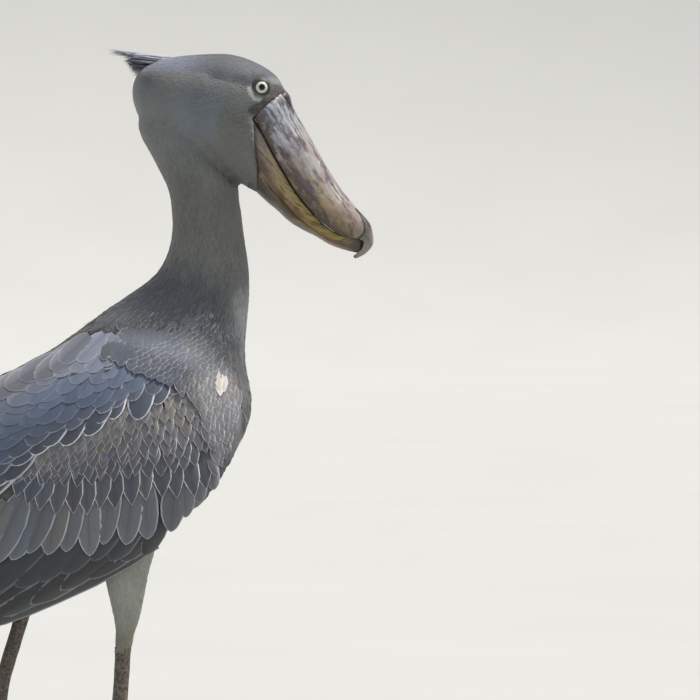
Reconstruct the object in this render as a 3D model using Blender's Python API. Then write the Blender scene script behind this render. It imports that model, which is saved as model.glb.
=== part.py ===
# Life-size still model of a standing shoebill, a grey wading bird with a clog-shaped bill.
# Metres, +Z up, +X towards the bill, +Y to the bird's left. The floor is z = 0, and the
# origin lies on it under the middle of the model's box.
#
# The side outline is given in millimetres as pairs of points, one on the back and one on the
# front or belly. A ring of the body stands on each pair, so the pairs fix the side view and the
# half widths fix the front and top views.

import math
import random

import bmesh
import bpy
from mathutils import Vector
from mathutils.bvhtree import BVHTree

MM = 0.001
GAP = 0.3 * MM                   # clearance that touching pieces keep
SIDE = Vector((0, 1, 0))

# Body axis: from the breast down to the tail, on a slope, with the back above it.
AXIS_SLOPE = math.radians(28)
AXIS_START = Vector((100, 0, 687.5)) * MM
ALONG = Vector((-math.cos(AXIS_SLOPE), 0, -math.sin(AXIS_SLOPE)))
ABOVE = Vector((-math.sin(AXIS_SLOPE), 0, math.cos(AXIS_SLOPE)))

# Rings of neck and body: back x, back z, front x, front z, half width, roundness power.
NECK_ROWS = [
    (40, 1052, 132, 988, 36, 2.2),
    (24, 1022, 146, 958, 46, 2.2),
    (35, 989, 150, 939, 48, 2.1),
    (47, 964, 151, 924, 45, 2.1),
    (59, 938, 154, 906, 42, 2.0),
    (63, 909, 156, 889, 40, 2.0),
    (62.5, 880, 159, 869, 42, 2.0),
    (54, 850, 163, 841, 47, 2.0),
    (36, 826, 164, 810, 55, 2.0),
    (1, 801, 162, 780, 66, 2.0),
]
BREAST_ROWS = [
    (-16, 790, 159, 750, 76, 2.0),
    (-34, 777.5, 160, 715, 88, 2.1),
    (-51, 765, 167.5, 675, 99, 2.1),
    (-69, 753, 162, 640, 107, 2.1),
    (-86, 741, 145, 605, 113, 2.1),
    (-101, 733.5, 116, 560, 117, 2.1),
    (-116, 726, 75, 521, 118, 2.1),
    (-132, 717.5, 25, 494, 118, 2.1),
]
# Rings square to the body axis: distance along it, height of the back and of the belly
# above it, half width.
TRUNK_ROWS = [
    (212, 134, -124, 117),
    (250, 131, -117, 114),
    (300, 124, -104, 106),
    (350, 113, -86, 95),
    (400, 97, -66, 80),
    (450, 78, -45, 62),
    (495, 57, -28, 46),
    (530, 38, -15, 35),
]
TRUNK_POWER = 2.1

# Head rings, from the bill's root back to the nape, as the neck's.
HEAD_ROWS = [
    (209, 1060, 174, 931, 46, 2.5),
    (196, 1081, 159, 939, 50, 2.5),
    (172.5, 1097, 138, 956, 54, 2.5),
    (140, 1108, 110, 975, 56, 2.4),
    (100, 1108, 79, 991, 54, 2.3),
    (62.5, 1104, 50, 1006, 47, 2.2),
    (35, 1096, 29, 1024, 36, 2.1),
    (22, 1082, 19.5, 1043, 22, 2.0),
    (17, 1068, 16.5, 1056, 7, 2.0),
]
# Where feathers and bill meet, seen from the side: forehead, gape corner, chin.
FOREHEAD = (210.5, 1061.5)
GAPE = (167.5, 1029)
CHIN = (174.5, 929)

# Upper bill rings: ridge x, ridge z, edge x, edge z, half width. The last ones curl down as
# the hooked nail.
UPPER_BILL_ROWS = [
    (200, 1072, 158, 1043, 45),
    (210, 1060.5, 168, 1028.5, 46),
    (219, 1036, 177.5, 1011, 47.5),
    (236, 1007, 189, 989, 50),
    (256, 971, 204, 962.5, 52),
    (276, 939, 221, 934.5, 52),
    (292.5, 919, 240, 911, 48.5),
    (304, 905, 262.5, 889.5, 40),
    (311.5, 895, 281, 880, 30),
    (315, 884, 296, 877, 19.5),
    (316, 875, 304, 874, 12),
    (314, 867, 302.5, 865.5, 8.5),
    (305, 857.5, 298, 861, 5.5),
    (293, 852, 291.5, 855, 2.2),
]
# Lower bill rings: edge x, edge z, keel x, keel z, half width.
LOWER_BILL_ROWS = [
    (166, 1029.5, 165, 940, 42),
    (177.5, 1010, 182.5, 923, 44),
    (189, 987.5, 196, 912, 46.5),
    (204, 961, 211, 898, 47.5),
    (221, 933, 227.5, 887.5, 46),
    (240, 909.5, 244, 879.5, 42),
    (262.5, 888, 261, 869.5, 34),
    (279, 879, 276, 863, 24),
    (289, 875.5, 287, 861, 14),
    (294, 872.5, 292.5, 864, 6),
]
BILL_POWER = 2.3
RIDGE = 1.6 * MM                 # how far the ridge stands above the upper bill's dome
RIDGE_SPREAD = 9 * MM
NOSTRIL = (213, 1050)            # a slit beside the ridge, near the forehead
NOSTRIL_OUT = 11 * MM
NOSTRIL_SIZE = (9 * MM, 1.6 * MM, 3.2 * MM)

EYE = (178, 1064.75)             # where the eye shows, seen from the side
EYE_RADIUS = 11 * MM
EYE_OPENING = 8 * MM             # radius of what shows between the lids
LID_WIDTH = 3 * MM
LID_HEIGHT = 1.6 * MM
EYE_TURN = math.radians(8)       # how far each eye looks forward

# The folded wing's core, in distance along the body axis and height above it: lower edge,
# upper edge. The vanes reach out past it.
WING_ROWS = [
    (-38, -44, 0),
    (-24, -66, 32),
    (0, -92, 56),
    (50, -119, 78),
    (100, -129, 90),
    (162, -131, 97),
    (225, -127, 99),
    (300, -119, 94),
    (375, -106, 80),
    (437, -92, 60),
    (490, -76, 36),
    (530, -62, 12),
    (560, -52, -8),
]
# The surface that the wing's outside follows: level of greatest width, reach above it, reach
# below it, half width, at distances along the axis.
SHIELD_ROWS = [
    (-38, -12, 120, 120, 74),
    (-24, -10, 128, 128, 92),
    (0, -6, 134, 140, 107),
    (50, 0, 138, 152, 123),
    (100, 4, 137, 159, 133),
    (162, 4, 137, 161, 137),
    (225, 2, 136, 156, 135),
    (300, -4, 128, 146, 126),
    (375, -12, 112, 130, 111),
    (437, -20, 92, 112, 94),
    (500, -30, 72, 88, 75),
    (550, -36, 56, 66, 62),
    (587, -40, 40, 44, 54),
    (607, -40, 30, 30, 50),
]
SHIELD_TOP_POWER = 2.1
SHIELD_LOW_POWER = 3.6
SHIELD_ROUND = 0.86
WING_SHEET = 8 * MM              # thickness of the wing where it hangs free
WING_ROOT = 42 * MM              # depth to which it reaches into the flank before it is cut

# Feather tracts of the wing, deepest first: count, how far a free tip's underside is lifted,
# and rows from the first feather to the last: where its tip lies along and above the axis,
# length, width, heading in degrees (0 straight back, negative down) and height of its face.
TRACTS = [
    ("primaries", 4, 0.0, [(596, -68, 170, 17, 0, 1.6), (604, -58, 175, 17, -1, 1.9),
                           (608, -47, 180, 17, -3, 2.2), (606, -37, 180, 17, -5, 2.5)]),
    ("secondaries", 7, 0.0, [(215, -138, 108, 24, -8, 1.3), (330, -132, 215, 32, -1, 2.0),
                             (430, -117, 240, 36, 0, 2.6), (520, -96, 240, 36, -2, 3.1),
                             (572, -74, 235, 34, -4, 3.6)]),
    ("tertials", 4, 1.0, [(566, -46, 252, 38, -5, 4.2), (545, -20, 245, 39, -6, 4.5),
                          (520, 6, 225, 39, -8, 4.8), (488, 32, 200, 37, -10, 5.1)]),
    ("greater_coverts", 8, -2.0, [(62, -122, 56, 32, -62, 3.6), (136, -129, 74, 36, -58, 3.7),
                                  (215, -109, 78, 36, -46, 3.8), (290, -80, 84, 38, -32, 4.0),
                                  (352, -58, 92, 38, -20, 4.6)]),
    ("median_coverts", 9, -2.0, [(36, -102, 46, 28, -66, 5.0), (120, -92, 54, 30, -60, 5.2),
                                  (186, -68, 54, 31, -48, 5.4), (252, -36, 58, 32, -32, 5.6),
                                  (300, -14, 66, 32, -20, 6.0)]),
    ("upper_coverts", 7, -2.0, [(18, -70, 38, 26, -64, 6.2), (90, -66, 44, 28, -58, 6.4),
                                (150, -46, 46, 28, -48, 6.6), (214, -10, 50, 30, -30, 6.8)]),
    ("scapulars", 6, -2.0, [(70, 10, 66, 32, -12, 7.2), (142, 20, 88, 40, -6, 7.6),
                            (222, 24, 108, 46, -4, 7.8), (330, 18, 134, 50, -5, 7.6),
                            (424, 20, 140, 46, -8, 7.0)]),
    ("upper_scapulars", 4, -2.0, [(130, 54, 84, 42, -4, 8.2), (215, 60, 100, 46, -4, 8.4),
                                  (305, 56, 116, 48, -6, 8.4), (390, 52, 126, 46, -8, 8.0)]),
]
LONG_VANE = [(0, 0.6), (0.3, 1), (0.62, 1), (0.88, 0.8)]     # place along it, share of its width
SHORT_VANE = [(0, 0.7), (0.5, 1), (0.84, 0.78)]
LONG_FROM = 100                  # millimetres from which a vane gets the longer form
VANE_UNDER = -2.2                # how far its underside is sunk at the root
VANE_TILT = 0.6                  # how far its outer edge stands up over the next one
VANE_CROWN = 0.4
TIP_THICKNESS = 1.1

TAIL_ROWS = [                    # distance along the axis, height, half thickness, half width
    (480, 12, 15, 24),
    (530, 9, 10, 27),
    (575, 3, 4, 28),
]
TAIL_VANES = 3                   # on each side of the middle one
TAIL_VANE = (640, 120, 24)       # where the tips lie along the axis, length, width
TAIL_FAN = 1.6                   # degrees between neighbours
TAIL_HALF = 28

# Crest: a short core and tiers of locks that sweep back off the crown. A tier has a count, the
# spread of its roots and of its tips to each side, root x and z, tip x and z on the midline, how
# much shorter its outer locks are, and half width.
CREST_CORE = [                   # x, z, half height, half width
    (80, 1096, 10, 20),
    (55, 1096, 12, 20),
    (32, 1092, 11, 15),
    (16, 1090, 4, 8),
]
CREST_TIERS = [
    (4, 11, 8, 62, 1102, -20, 1112, 15, 5.2),
    (5, 16, 14, 52, 1097, 1, 1100, 7, 5.4),
    (4, 14, 13, 44, 1089, 8, 1088, 4, 5.4),
]
LOCK_THICK = 2.4 * MM
LOCK_BOW = 1.5 * MM

# Legs, from the top down: x, height, half length, half width. y is the leg's own.
HIP_OUT = 56 * MM
FOOT_OUT = 64 * MM
RIGHT_LEG = {
    "thigh": [(14, 545, 40, 25), (11, 515, 43, 28), (10, 490, 38, 28), (10, 465, 31, 25),
              (10.5, 431, 24, 20), (10.5, 405, 18.5, 16), (8, 384, 13.5, 13), (6, 365, 10.8, 11)],
    "shank": [(6, 365, 9.8, 9.6), (4.5, 340, 9.3, 9), (2, 305, 9.6, 9.4), (0, 288, 11.5, 11)],
    "tarsus": [(0, 288, 12.6, 12), (-1, 277, 14, 13), (-0.5, 264, 12, 11.5), (0.5, 245, 9.2, 9),
               (2.5, 180, 8.2, 8.4), (4.5, 90, 8.4, 8.8), (5.5, 50, 9.6, 10), (6, 33, 11, 11.5)],
}
LEFT_LEG = {
    "thigh": [(-72, 560, 40, 25), (-80, 530, 41, 28), (-88, 505, 36, 27), (-97, 480, 30, 24),
              (-107, 455, 23, 20), (-116, 430, 17, 16), (-121, 415, 12.8, 13), (-126, 402, 10.8, 11)],
    "shank": [(-126, 402, 9.8, 9.6), (-136, 370, 9.3, 9), (-151, 322, 9.8, 9.6),
              (-158, 298, 11.5, 11)],
    "tarsus": [(-158, 298, 12.6, 12), (-161, 287, 14, 13), (-161.5, 274, 12, 11.5),
               (-160.5, 254, 9.2, 9), (-157, 180, 8.2, 8.4), (-153, 90, 8.4, 8.8),
               (-151.5, 50, 9.6, 10), (-151, 33, 11, 11.5)],
}
FOOT_ROWS = [(0, 15, 15), (5, 19, 19), (13, 17.5, 17.5), (23, 13.5, 14), (33, 10.5, 11)]
# Toes: name, direction from straight ahead towards the midline, length, root and end radius,
# count of joints.
TOES = [
    ("middle", 2, 146, 9.0, 5.6, 4),
    ("inner", 33, 116, 8.6, 5.4, 3),
    ("outer", -30, 124, 8.6, 5.4, 4),
    ("hind", 172, 70, 8.2, 5.4, 2),
]
CLAW_LENGTH = 21 * MM
CLAW_DROP = 3.6 * MM
SCUTE = (25, 0.62, 0.75)        # spacing along a toe, share of its width, height
SEED = 7

NECK_SIDES = 20
TRUNK_SIDES = 24
HEAD_SIDES = 24
BILL_SIDES = 10                  # faces over the dome, from edge to edge
LEG_SIDES = 10
TOE_SIDES = 8
CLAW_SIDES = 7

SLATE = (0.19, 0.21, 0.25)
NECK_GREY = (0.23, 0.25, 0.26)
DARK_SLATE = (0.09, 0.10, 0.12)
HORN = (0.55, 0.47, 0.38)
HORN_LOW = (0.50, 0.38, 0.22)
LEG_GREY = (0.13, 0.11, 0.10)
CLAW_BLACK = (0.03, 0.03, 0.03)
IRIS = (0.70, 0.72, 0.62)


def clear_scene():
    for item in list(bpy.data.objects):
        bpy.data.objects.remove(item)


def finish_material(name, colour, roughness):
    made = bpy.data.materials.get(name)
    if made is None:
        made = bpy.data.materials.new(name)
        made.use_nodes = True
        shader = made.node_tree.nodes["Principled BSDF"]
        shader.inputs["Base Color"].default_value = (*colour, 1)
        shader.inputs["Roughness"].default_value = roughness
        shader.inputs["Metallic"].default_value = 0
    return made


def solid(name, points, faces, finish):
    """A closed mesh object with its faces pointing out."""
    mesh = bpy.data.meshes.new(name)
    mesh.from_pydata([tuple(p) for p in points], [], faces)
    tidy = bmesh.new()
    tidy.from_mesh(mesh)
    bmesh.ops.recalc_face_normals(tidy, faces=tidy.faces)
    tidy.to_mesh(mesh)
    tidy.free()
    mesh.materials.append(finish_material(*finish))
    made = bpy.data.objects.new(name, mesh)
    bpy.context.scene.collection.objects.link(made)
    return made


def loft(name, rings, finish):
    """A skin over rings of equal count, with a flat cap on each end.

    Its diagonals are the same for every size, so a cutter grown from a piece follows its faces.
    """
    sides = len(rings[0])
    points = [p for ring in rings for p in ring]
    faces = []
    for r in range(len(rings) - 1):
        for k in range(sides):
            n = (k + 1) % sides
            a, b = r * sides + k, r * sides + n
            c, d = (r + 1) * sides + n, (r + 1) * sides + k
            faces += [(a, b, c), (a, c, d)] if k < sides / 2 else [(a, b, d), (b, c, d)]
    faces.append(tuple(range(sides)))
    faces.append(tuple((len(rings) - 1) * sides + k for k in range(sides)))
    return solid(name, points, faces, finish)


def between(rows, place):
    """The row at a place along a table, on a smooth curve through all its rows."""
    last = len(rows) - 1
    place = min(max(place, 0.0), float(last))
    i = min(int(place), last - 1)
    f = place - i
    before, start, end, after = (rows[min(max(k, 0), last)] for k in (i - 1, i, i + 1, i + 2))
    return [
        0.5 * (2 * q + (r - p) * f + (2 * p - 5 * q + 4 * r - s) * f**2 + (3 * q - p - 3 * r + s) * f**3)
        for p, q, r, s in zip(before, start, end, after)
    ]


def place_at(rows, value):
    """The place along a table whose first column holds this value."""
    for i in range(len(rows) - 1):
        if value <= rows[i + 1][0]:
            return i + (value - rows[i][0]) / (rows[i + 1][0] - rows[i][0])
    return float(len(rows) - 1)


def side_point(x, z):
    return Vector((x * MM, 0, z * MM))


def body_point(along, above, out=0.0):
    """A point from its distance along the body axis, height above it and distance out, in metres."""
    return AXIS_START + ALONG * along + ABOVE * above + SIDE * out


def rounded(angle, power):
    """Unit rise and reach of a rounded section at an angle from its top."""
    c, s = math.cos(angle), math.sin(angle)
    return math.copysign(abs(c) ** (2 / power), c), math.copysign(abs(s) ** (2 / power), s)


def body_ring(row, sides, grow=0.0):
    """A ring that stands on a back point and a front point."""
    back, front = side_point(row[0], row[1]), side_point(row[2], row[3])
    middle, half = (back + front) / 2, (back - front) / 2
    up = half.normalized()
    ring = []
    for k in range(sides):
        rise, reach = rounded(2 * math.pi * k / sides, row[5])
        ring.append(middle + up * (half.length + grow) * rise + SIDE * (row[4] * MM + grow) * reach)
    return ring


def trunk_row(along, top, bottom, width):
    back = body_point(along * MM, top * MM) / MM
    front = body_point(along * MM, bottom * MM) / MM
    return (back.x, back.z, front.x, front.z, width, TRUNK_POWER)


BODY_ROWS = NECK_ROWS + BREAST_ROWS + [trunk_row(*row) for row in TRUNK_ROWS]


def gap_step(rows, place):
    """How far along a table half the clearance is, where its rings lie closest."""
    near, far = between(rows, place - 0.02), between(rows, place + 0.02)
    ends = [(side_point(far[i], far[i + 1]) - side_point(near[i], near[i + 1])).length for i in (0, 2)]
    return 0.04 * GAP / 2 / min(ends)


def body_piece(name, start, end, steps, sides, finish, grow=0.0):
    """One length of neck or body between two places along the body's rows."""
    first = start + (gap_step(BODY_ROWS, start) if start > 0 else 0)
    last = end - (gap_step(BODY_ROWS, end) if end < len(BODY_ROWS) - 1 else 0)
    places = [first + (last - first) * i / steps for i in range(steps + 1)]
    return loft(name, [body_ring(between(BODY_ROWS, p), sides, grow) for p in places], finish)


def combine(target, others, operation, solver="EXACT"):
    """Joins closed meshes to the target, or cuts it by them, and keeps its largest closed surface."""
    group = bpy.data.collections.new("operands")
    for other in others:
        group.objects.link(other)
    step = target.modifiers.new("combine", "BOOLEAN")
    step.operation = operation
    step.operand_type = "COLLECTION"
    step.collection = group
    step.solver = solver
    bpy.context.view_layer.update()
    graph = bpy.context.evaluated_depsgraph_get()
    joined = bpy.data.meshes.new_from_object(target.evaluated_get(graph))
    target.modifiers.clear()
    old, target.data = target.data, joined
    bpy.data.meshes.remove(old)
    for other in others:
        bpy.data.objects.remove(other)
    bpy.data.collections.remove(group)
    keep_largest(target)


def keep_largest(target):
    """Drops loose scraps and the walls of sealed hollows."""
    shape = bmesh.new()
    shape.from_mesh(target.data)
    left, islands = set(shape.verts), []
    while left:
        island, edge = set(), [left.pop()]
        while edge:
            vert = edge.pop()
            island.add(vert)
            for link in vert.link_edges:
                other = link.other_vert(vert)
                if other in left:
                    left.discard(other)
                    edge.append(other)
        islands.append(island)
    islands.sort(key=span, reverse=True)
    for island in islands[1:]:
        bmesh.ops.delete(shape, geom=list(island), context="VERTS")
    shape.to_mesh(target.data)
    shape.free()


def span(island):
    places = [vert.co for vert in island]
    return sum(max(p[i] for p in places) - min(p[i] for p in places) for i in range(3))


def shade(target, angle=40):
    target.data.shade_smooth()
    target.data.set_sharp_from_angle(angle=math.radians(angle))


def prism(name, outline, half_width):
    """A flat-sided cutter: a side-view outline carried across the whole model."""
    count = len(outline)
    points = [side_point(x, z) + SIDE * half_width * s for s in (-1, 1) for x, z in outline]
    faces = [tuple(range(count)), tuple(range(count, 2 * count))]
    faces += [(k, (k + 1) % count, count + (k + 1) % count, count + k) for k in range(count)]
    return solid(name, points, faces, ("cutter", SLATE, 0.8))


def moved_off(line, distance):
    """The side-view line moved square to itself, to the right of its direction, in millimetres."""
    (ax, az), (bx, bz) = line
    run = Vector((bx - ax, bz - az)).normalized()
    off = Vector((run.y, -run.x)) * distance
    return [(ax + off.x, az + off.y), (bx + off.x, bz + off.y)]


def stretched(line, start, end):
    """The line lengthened past both ends, in millimetres."""
    (ax, az), (bx, bz) = line
    run = Vector((bx - ax, bz - az)).normalized()
    return [(ax - run.x * start, az - run.y * start), (bx + run.x * end, bz + run.y * end)]


def turned_piece(name, profile, base, axis, sides, finish):
    """A closed ring turned about an axis: profile holds (radius, height along the axis)."""
    turn = Vector((0, 0, 1)).rotation_difference(axis)
    points, faces, count = [], [], len(profile)
    for k in range(sides):
        angle = 2 * math.pi * k / sides
        for radius, height in profile:
            local = Vector((radius * math.cos(angle), radius * math.sin(angle), height))
            points.append(base + turn @ local)
    for k in range(sides):
        n = (k + 1) % sides
        for j in range(count):
            m = (j + 1) % count
            faces.append((k * count + j, n * count + j, n * count + m, k * count + m))
    return solid(name, points, faces, finish)


def ball(name, centre, radii, turn, segments, rings, finish):
    """An ellipsoid with its poles along the turned X axis."""
    points = [centre + turn @ Vector((-radii[0], 0, 0)), centre + turn @ Vector((radii[0], 0, 0))]
    faces = []
    for r in range(1, rings):
        down = math.pi * r / rings
        for k in range(segments):
            angle = 2 * math.pi * k / segments
            local = (
                -radii[0] * math.cos(down),
                radii[1] * math.sin(down) * math.cos(angle),
                radii[2] * math.sin(down) * math.sin(angle),
            )
            points.append(centre + turn @ Vector(local))
    for k in range(segments):
        n = (k + 1) % segments
        faces.append((0, 2 + k, 2 + n))
        faces.append((1, 2 + (rings - 2) * segments + n, 2 + (rings - 2) * segments + k))
        for r in range(rings - 2):
            a, b = 2 + r * segments, 2 + (r + 1) * segments
            faces.append((a + k, b + k, b + n, a + n))
    return solid(name, points, faces, finish)


def surface_out(target, x, z):
    """How far out the target's skin lies at a side-view point, in metres."""
    tree = BVHTree.FromPolygons(
        [v.co for v in target.data.vertices], [p.vertices for p in target.data.polygons]
    )
    hit = tree.ray_cast(Vector((x * MM, 1, z * MM)), Vector((0, -1, 0)))[0]
    return hit.y


HEAD_STEPS = 14
EYE_SEGMENTS = 12
EYE_RINGS = 7


def head_loft(name, grow=0.0):
    places = [(len(HEAD_ROWS) - 1) * i / HEAD_STEPS for i in range(HEAD_STEPS + 1)]
    rings = [body_ring(between(HEAD_ROWS, p), HEAD_SIDES, grow) for p in places]
    return loft(name, rings, ("head_feathers", NECK_GREY, 0.8))


def eye_axis(side):
    return Vector((math.sin(EYE_TURN), side * math.cos(EYE_TURN), 0))


def build_head():
    """Head with a notch for the bill, raised lids and a socket for each eye."""
    head = head_loft("head")
    skin = surface_out(head, *EYE)
    depth = math.sqrt(EYE_RADIUS**2 - EYE_OPENING**2)
    centres = {}
    lids = []
    for side in (-1, 1):
        rim = Vector((EYE[0] * MM, side * skin, EYE[1] * MM))
        centres[side] = rim - eye_axis(side) * (depth - LID_HEIGHT)
        profile = [
            (EYE_OPENING - 2 * MM, -9 * MM),
            (EYE_OPENING + LID_WIDTH + 3 * MM, -9 * MM),
            (EYE_OPENING + LID_WIDTH, LID_HEIGHT * 0.4),
            (EYE_OPENING + LID_WIDTH * 0.35, LID_HEIGHT),
            (EYE_OPENING - 2 * MM, LID_HEIGHT * 0.6),
        ]
        lids.append(turned_piece("lid", profile, rim, eye_axis(side), EYE_SEGMENTS, ("lid", DARK_SLATE, 0.6)))
    combine(head, lids, "UNION")
    notch = prism("notch", [GAPE, *stretched([GAPE, FOREHEAD], 0, 40)[1:], (300, 1100), (300, 900),
                            *stretched([GAPE, CHIN], 0, 40)[1:]], 90 * MM)
    sockets = [make_eye("socket", centres[side], side, GAP) for side in (-1, 1)]
    combine(head, [notch, *sockets], "DIFFERENCE")
    shade(head)
    make_eye("eye_right", centres[-1], -1)
    make_eye("eye_left", centres[1], 1)
    return head


def make_eye(name, centre, side, grow=0.0):
    turn = Vector((1, 0, 0)).rotation_difference(eye_axis(side))
    made = ball(name, centre, [EYE_RADIUS + grow] * 3, turn, EYE_SEGMENTS, EYE_RINGS,
                ("iris", IRIS, 0.15))
    made.data.shade_smooth()
    return made


def upper_bill_ring(row, grow=0.0):
    """A dome over a flat palate, with a low ridge along its top."""
    ridge, edge = side_point(row[0], row[1]), side_point(row[2], row[3])
    rise_by, width = (ridge - edge).length, row[4] * MM
    up = (ridge - edge).normalized()
    ring = []
    for k in range(BILL_SIDES + 1):
        rise, reach = rounded(-math.pi / 2 + math.pi * k / BILL_SIDES, BILL_POWER)
        out = (width + grow) * reach
        crown = min(RIDGE, 0.05 * rise_by) * math.exp(-((out / RIDGE_SPREAD) ** 2))
        dome = (rise_by - min(RIDGE, 0.05 * rise_by) + grow) * max(rise, 0)
        ring.append(edge + up * (dome + crown - grow * (rise < 0.01)) + SIDE * out)
    return ring


def lower_bill_ring(row):
    """A keeled trough under a flat mouth line."""
    edge, keel = side_point(row[0], row[1]), side_point(row[2], row[3])
    depth, width = (edge - keel).length, row[4] * MM
    down = (keel - edge).normalized()
    ring = []
    for k in range(BILL_SIDES + 1):
        rise, reach = rounded(-math.pi / 2 + math.pi * k / BILL_SIDES, BILL_POWER)
        ring.append(edge + down * depth * max(rise, 0) + SIDE * width * reach)
    return ring


UPPER_BILL_STEPS = 17
LOWER_BILL_STEPS = 13


def build_bill():
    """Upper and lower bill, each cut off square where the feathers begin."""
    places = [(len(UPPER_BILL_ROWS) - 1) * i / UPPER_BILL_STEPS for i in range(UPPER_BILL_STEPS + 1)]
    upper = loft("upper_bill", [upper_bill_ring(between(UPPER_BILL_ROWS, p)) for p in places],
                 ("upper_horn", HORN, 0.45))
    root = stretched(moved_off([GAPE, FOREHEAD], GAP / MM), 40, 40)
    behind = prism("behind", [root[0], root[1], (root[1][0] - 60, root[1][1] + 60),
                              (root[0][0] - 60, root[0][1] + 60)], 90 * MM)
    turn = Vector((1, 0, 0)).rotation_difference(
        side_point(*UPPER_BILL_ROWS[2][:2]) - side_point(*UPPER_BILL_ROWS[1][:2]))
    slits = []
    for side in (-1, 1):
        centre = side_point(*NOSTRIL) + SIDE * side * NOSTRIL_OUT
        slits.append(ball("slit", centre, NOSTRIL_SIZE, turn, 8, 5, ("cutter", SLATE, 0.8)))
    combine(upper, [behind, *slits], "DIFFERENCE")
    shade(upper)

    places = [(len(LOWER_BILL_ROWS) - 1) * i / LOWER_BILL_STEPS for i in range(LOWER_BILL_STEPS + 1)]
    lower = loft("lower_bill", [lower_bill_ring(between(LOWER_BILL_ROWS, p)) for p in places],
                 ("lower_horn", HORN_LOW, 0.45))
    root = stretched(moved_off([CHIN, GAPE], GAP / MM), 40, 40)
    behind = prism("behind", [root[0], root[1], (root[1][0] - 60, root[1][1]), (root[0][0] - 60, root[0][1])],
                   90 * MM)
    combine(lower, [behind], "DIFFERENCE")
    shade(lower)


PIECES = [                       # name, first and last place along the body's rows, steps, sides
    ("neck_upper", 0, 5, 7, NECK_SIDES),
    ("neck_lower", 5, 9, 5, NECK_SIDES),
    ("breast", 9, 14, 6, TRUNK_SIDES),
    ("torso", 14, 19, 5, TRUNK_SIDES),
    ("rump", 19, 25, 7, TRUNK_SIDES),
]


def build_body():
    """Neck, breast, torso and rump, one behind another."""
    made = {}
    for name, start, end, steps, sides in PIECES:
        finish = ("neck_feathers", NECK_GREY, 0.85) if name.startswith("neck") else ("body_feathers", SLATE, 0.85)
        made[name] = body_piece(name, start, end, steps, sides, finish)
    combine(made["neck_upper"], [head_loft("cut", GAP)], "DIFFERENCE")
    for piece in made.values():
        shade(piece)
    return made


def grown_body(first=2):
    """The body a clearance larger and all in one, to cut what lies against it."""
    places = [start + (end - start) * i / steps for _, start, end, steps, _ in PIECES[first:]
              for i in range(steps)] + [PIECES[-1][2]]
    return loft("cut", [body_ring(between(BODY_ROWS, p), TRUNK_SIDES, GAP) for p in places],
                ("cutter", SLATE, 0.8))


def shield_out(along, above):
    """How far out the wing's surface lies at a point of the body's side view, in metres.

    It is rounded out to a share of its reach and goes on straight from there.
    """
    level, up, down, width = (v * MM for v in between(SHIELD_ROWS, place_at(SHIELD_ROWS, along / MM))[1:])
    reach = abs(above - level) / (up if above > level else down)
    power = SHIELD_TOP_POWER if above > level else SHIELD_LOW_POWER
    near = min(reach, SHIELD_ROUND)
    left = 1 - near**power
    return width * (left ** (1 / power) - (reach - near) * left ** (1 / power - 1) * near ** (power - 1))


def on_wing(along, above, lift, side):
    """A point at a height over the wing's surface, square to it; all in metres."""
    step = 1 * MM
    out = shield_out(along, above)
    lean = Vector((out - shield_out(along + step, above), out - shield_out(along, above + step), step))
    lean = lean.normalized() * lift
    return body_point(along + lean.x, above + lean.y, side * (out + lean.z))


def vane(place, tip, heading, length, width, top, tip_under, rows, bend=0.0, tilt=VANE_TILT,
         under=VANE_UNDER):
    """A closed feather laid on a surface: its face crowned, its root sunk, its end tapered.

    place takes two distances on the surface and a height over it, in millimetres.
    """
    turn = math.radians(heading)
    run, across = Vector((math.cos(turn), math.sin(turn))), Vector((-math.sin(turn), math.cos(turn)))
    end = Vector(tip)
    points, faces = [], []
    for share, wide in rows:
        middle = end - run * length * (1 - share) + across * bend * (1 - share) ** 2
        low = under + (tip_under - under) * share**3
        for j in (-1, 0, 1):
            spot = middle + across * j * wide * width / 2
            points.append(place(spot.x, spot.y, top + VANE_CROWN * (1 - abs(j)) - tilt * j))
        for j in (-1, 1):
            spot = middle + across * j * wide * width / 2
            points.append(place(spot.x, spot.y, low - tilt * j * share))
    points += [place(end.x, end.y, top), place(end.x, end.y, min(tip_under, top - TIP_THICKNESS))]
    for r in range(len(rows) - 1):
        a, b = 5 * r, 5 * r + 5
        for k in (0, 1, 3):
            faces += [(a + k, a + k + 1, b + k), (a + k + 1, b + k + 1, b + k)]
        faces += [(a, b, b + 3), (a, b + 3, a + 3), (a + 2, a + 4, b + 4), (a + 2, b + 4, b + 2)]
    a, t = 5 * (len(rows) - 1), len(points) - 2
    faces += [(0, 3, 1), (1, 3, 4), (1, 4, 2), (a, a + 1, t), (a + 1, a + 2, t), (a + 3, t + 1, a + 4)]
    faces += [(a, t, t + 1), (a, t + 1, a + 3), (a + 2, a + 4, t + 1), (a + 2, t + 1, t)]
    return solid("vane", points, faces, ("flight_feathers", DARK_SLATE, 0.7))


WING_STEPS = 13
WING_BANDS = 5


def wing_ring(along, low, high, side):
    """The wing's section square to the body axis: its outside, then its inside."""
    levels = [low + (high - low) * j / WING_BANDS for j in range(WING_BANDS + 1)]
    outer = [body_point(along, b, side * shield_out(along, b)) for b in levels]
    inner = []
    for b in reversed(levels):
        share = min(max((b + 95 * MM) / (95 * MM), 0), 1) * min(max((480 * MM - along) / (150 * MM), 0), 1)
        depth = WING_SHEET + (WING_ROOT - WING_SHEET) * share
        inner.append(body_point(along, b, side * (shield_out(along, b) - depth)))
    return outer + inner


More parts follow.
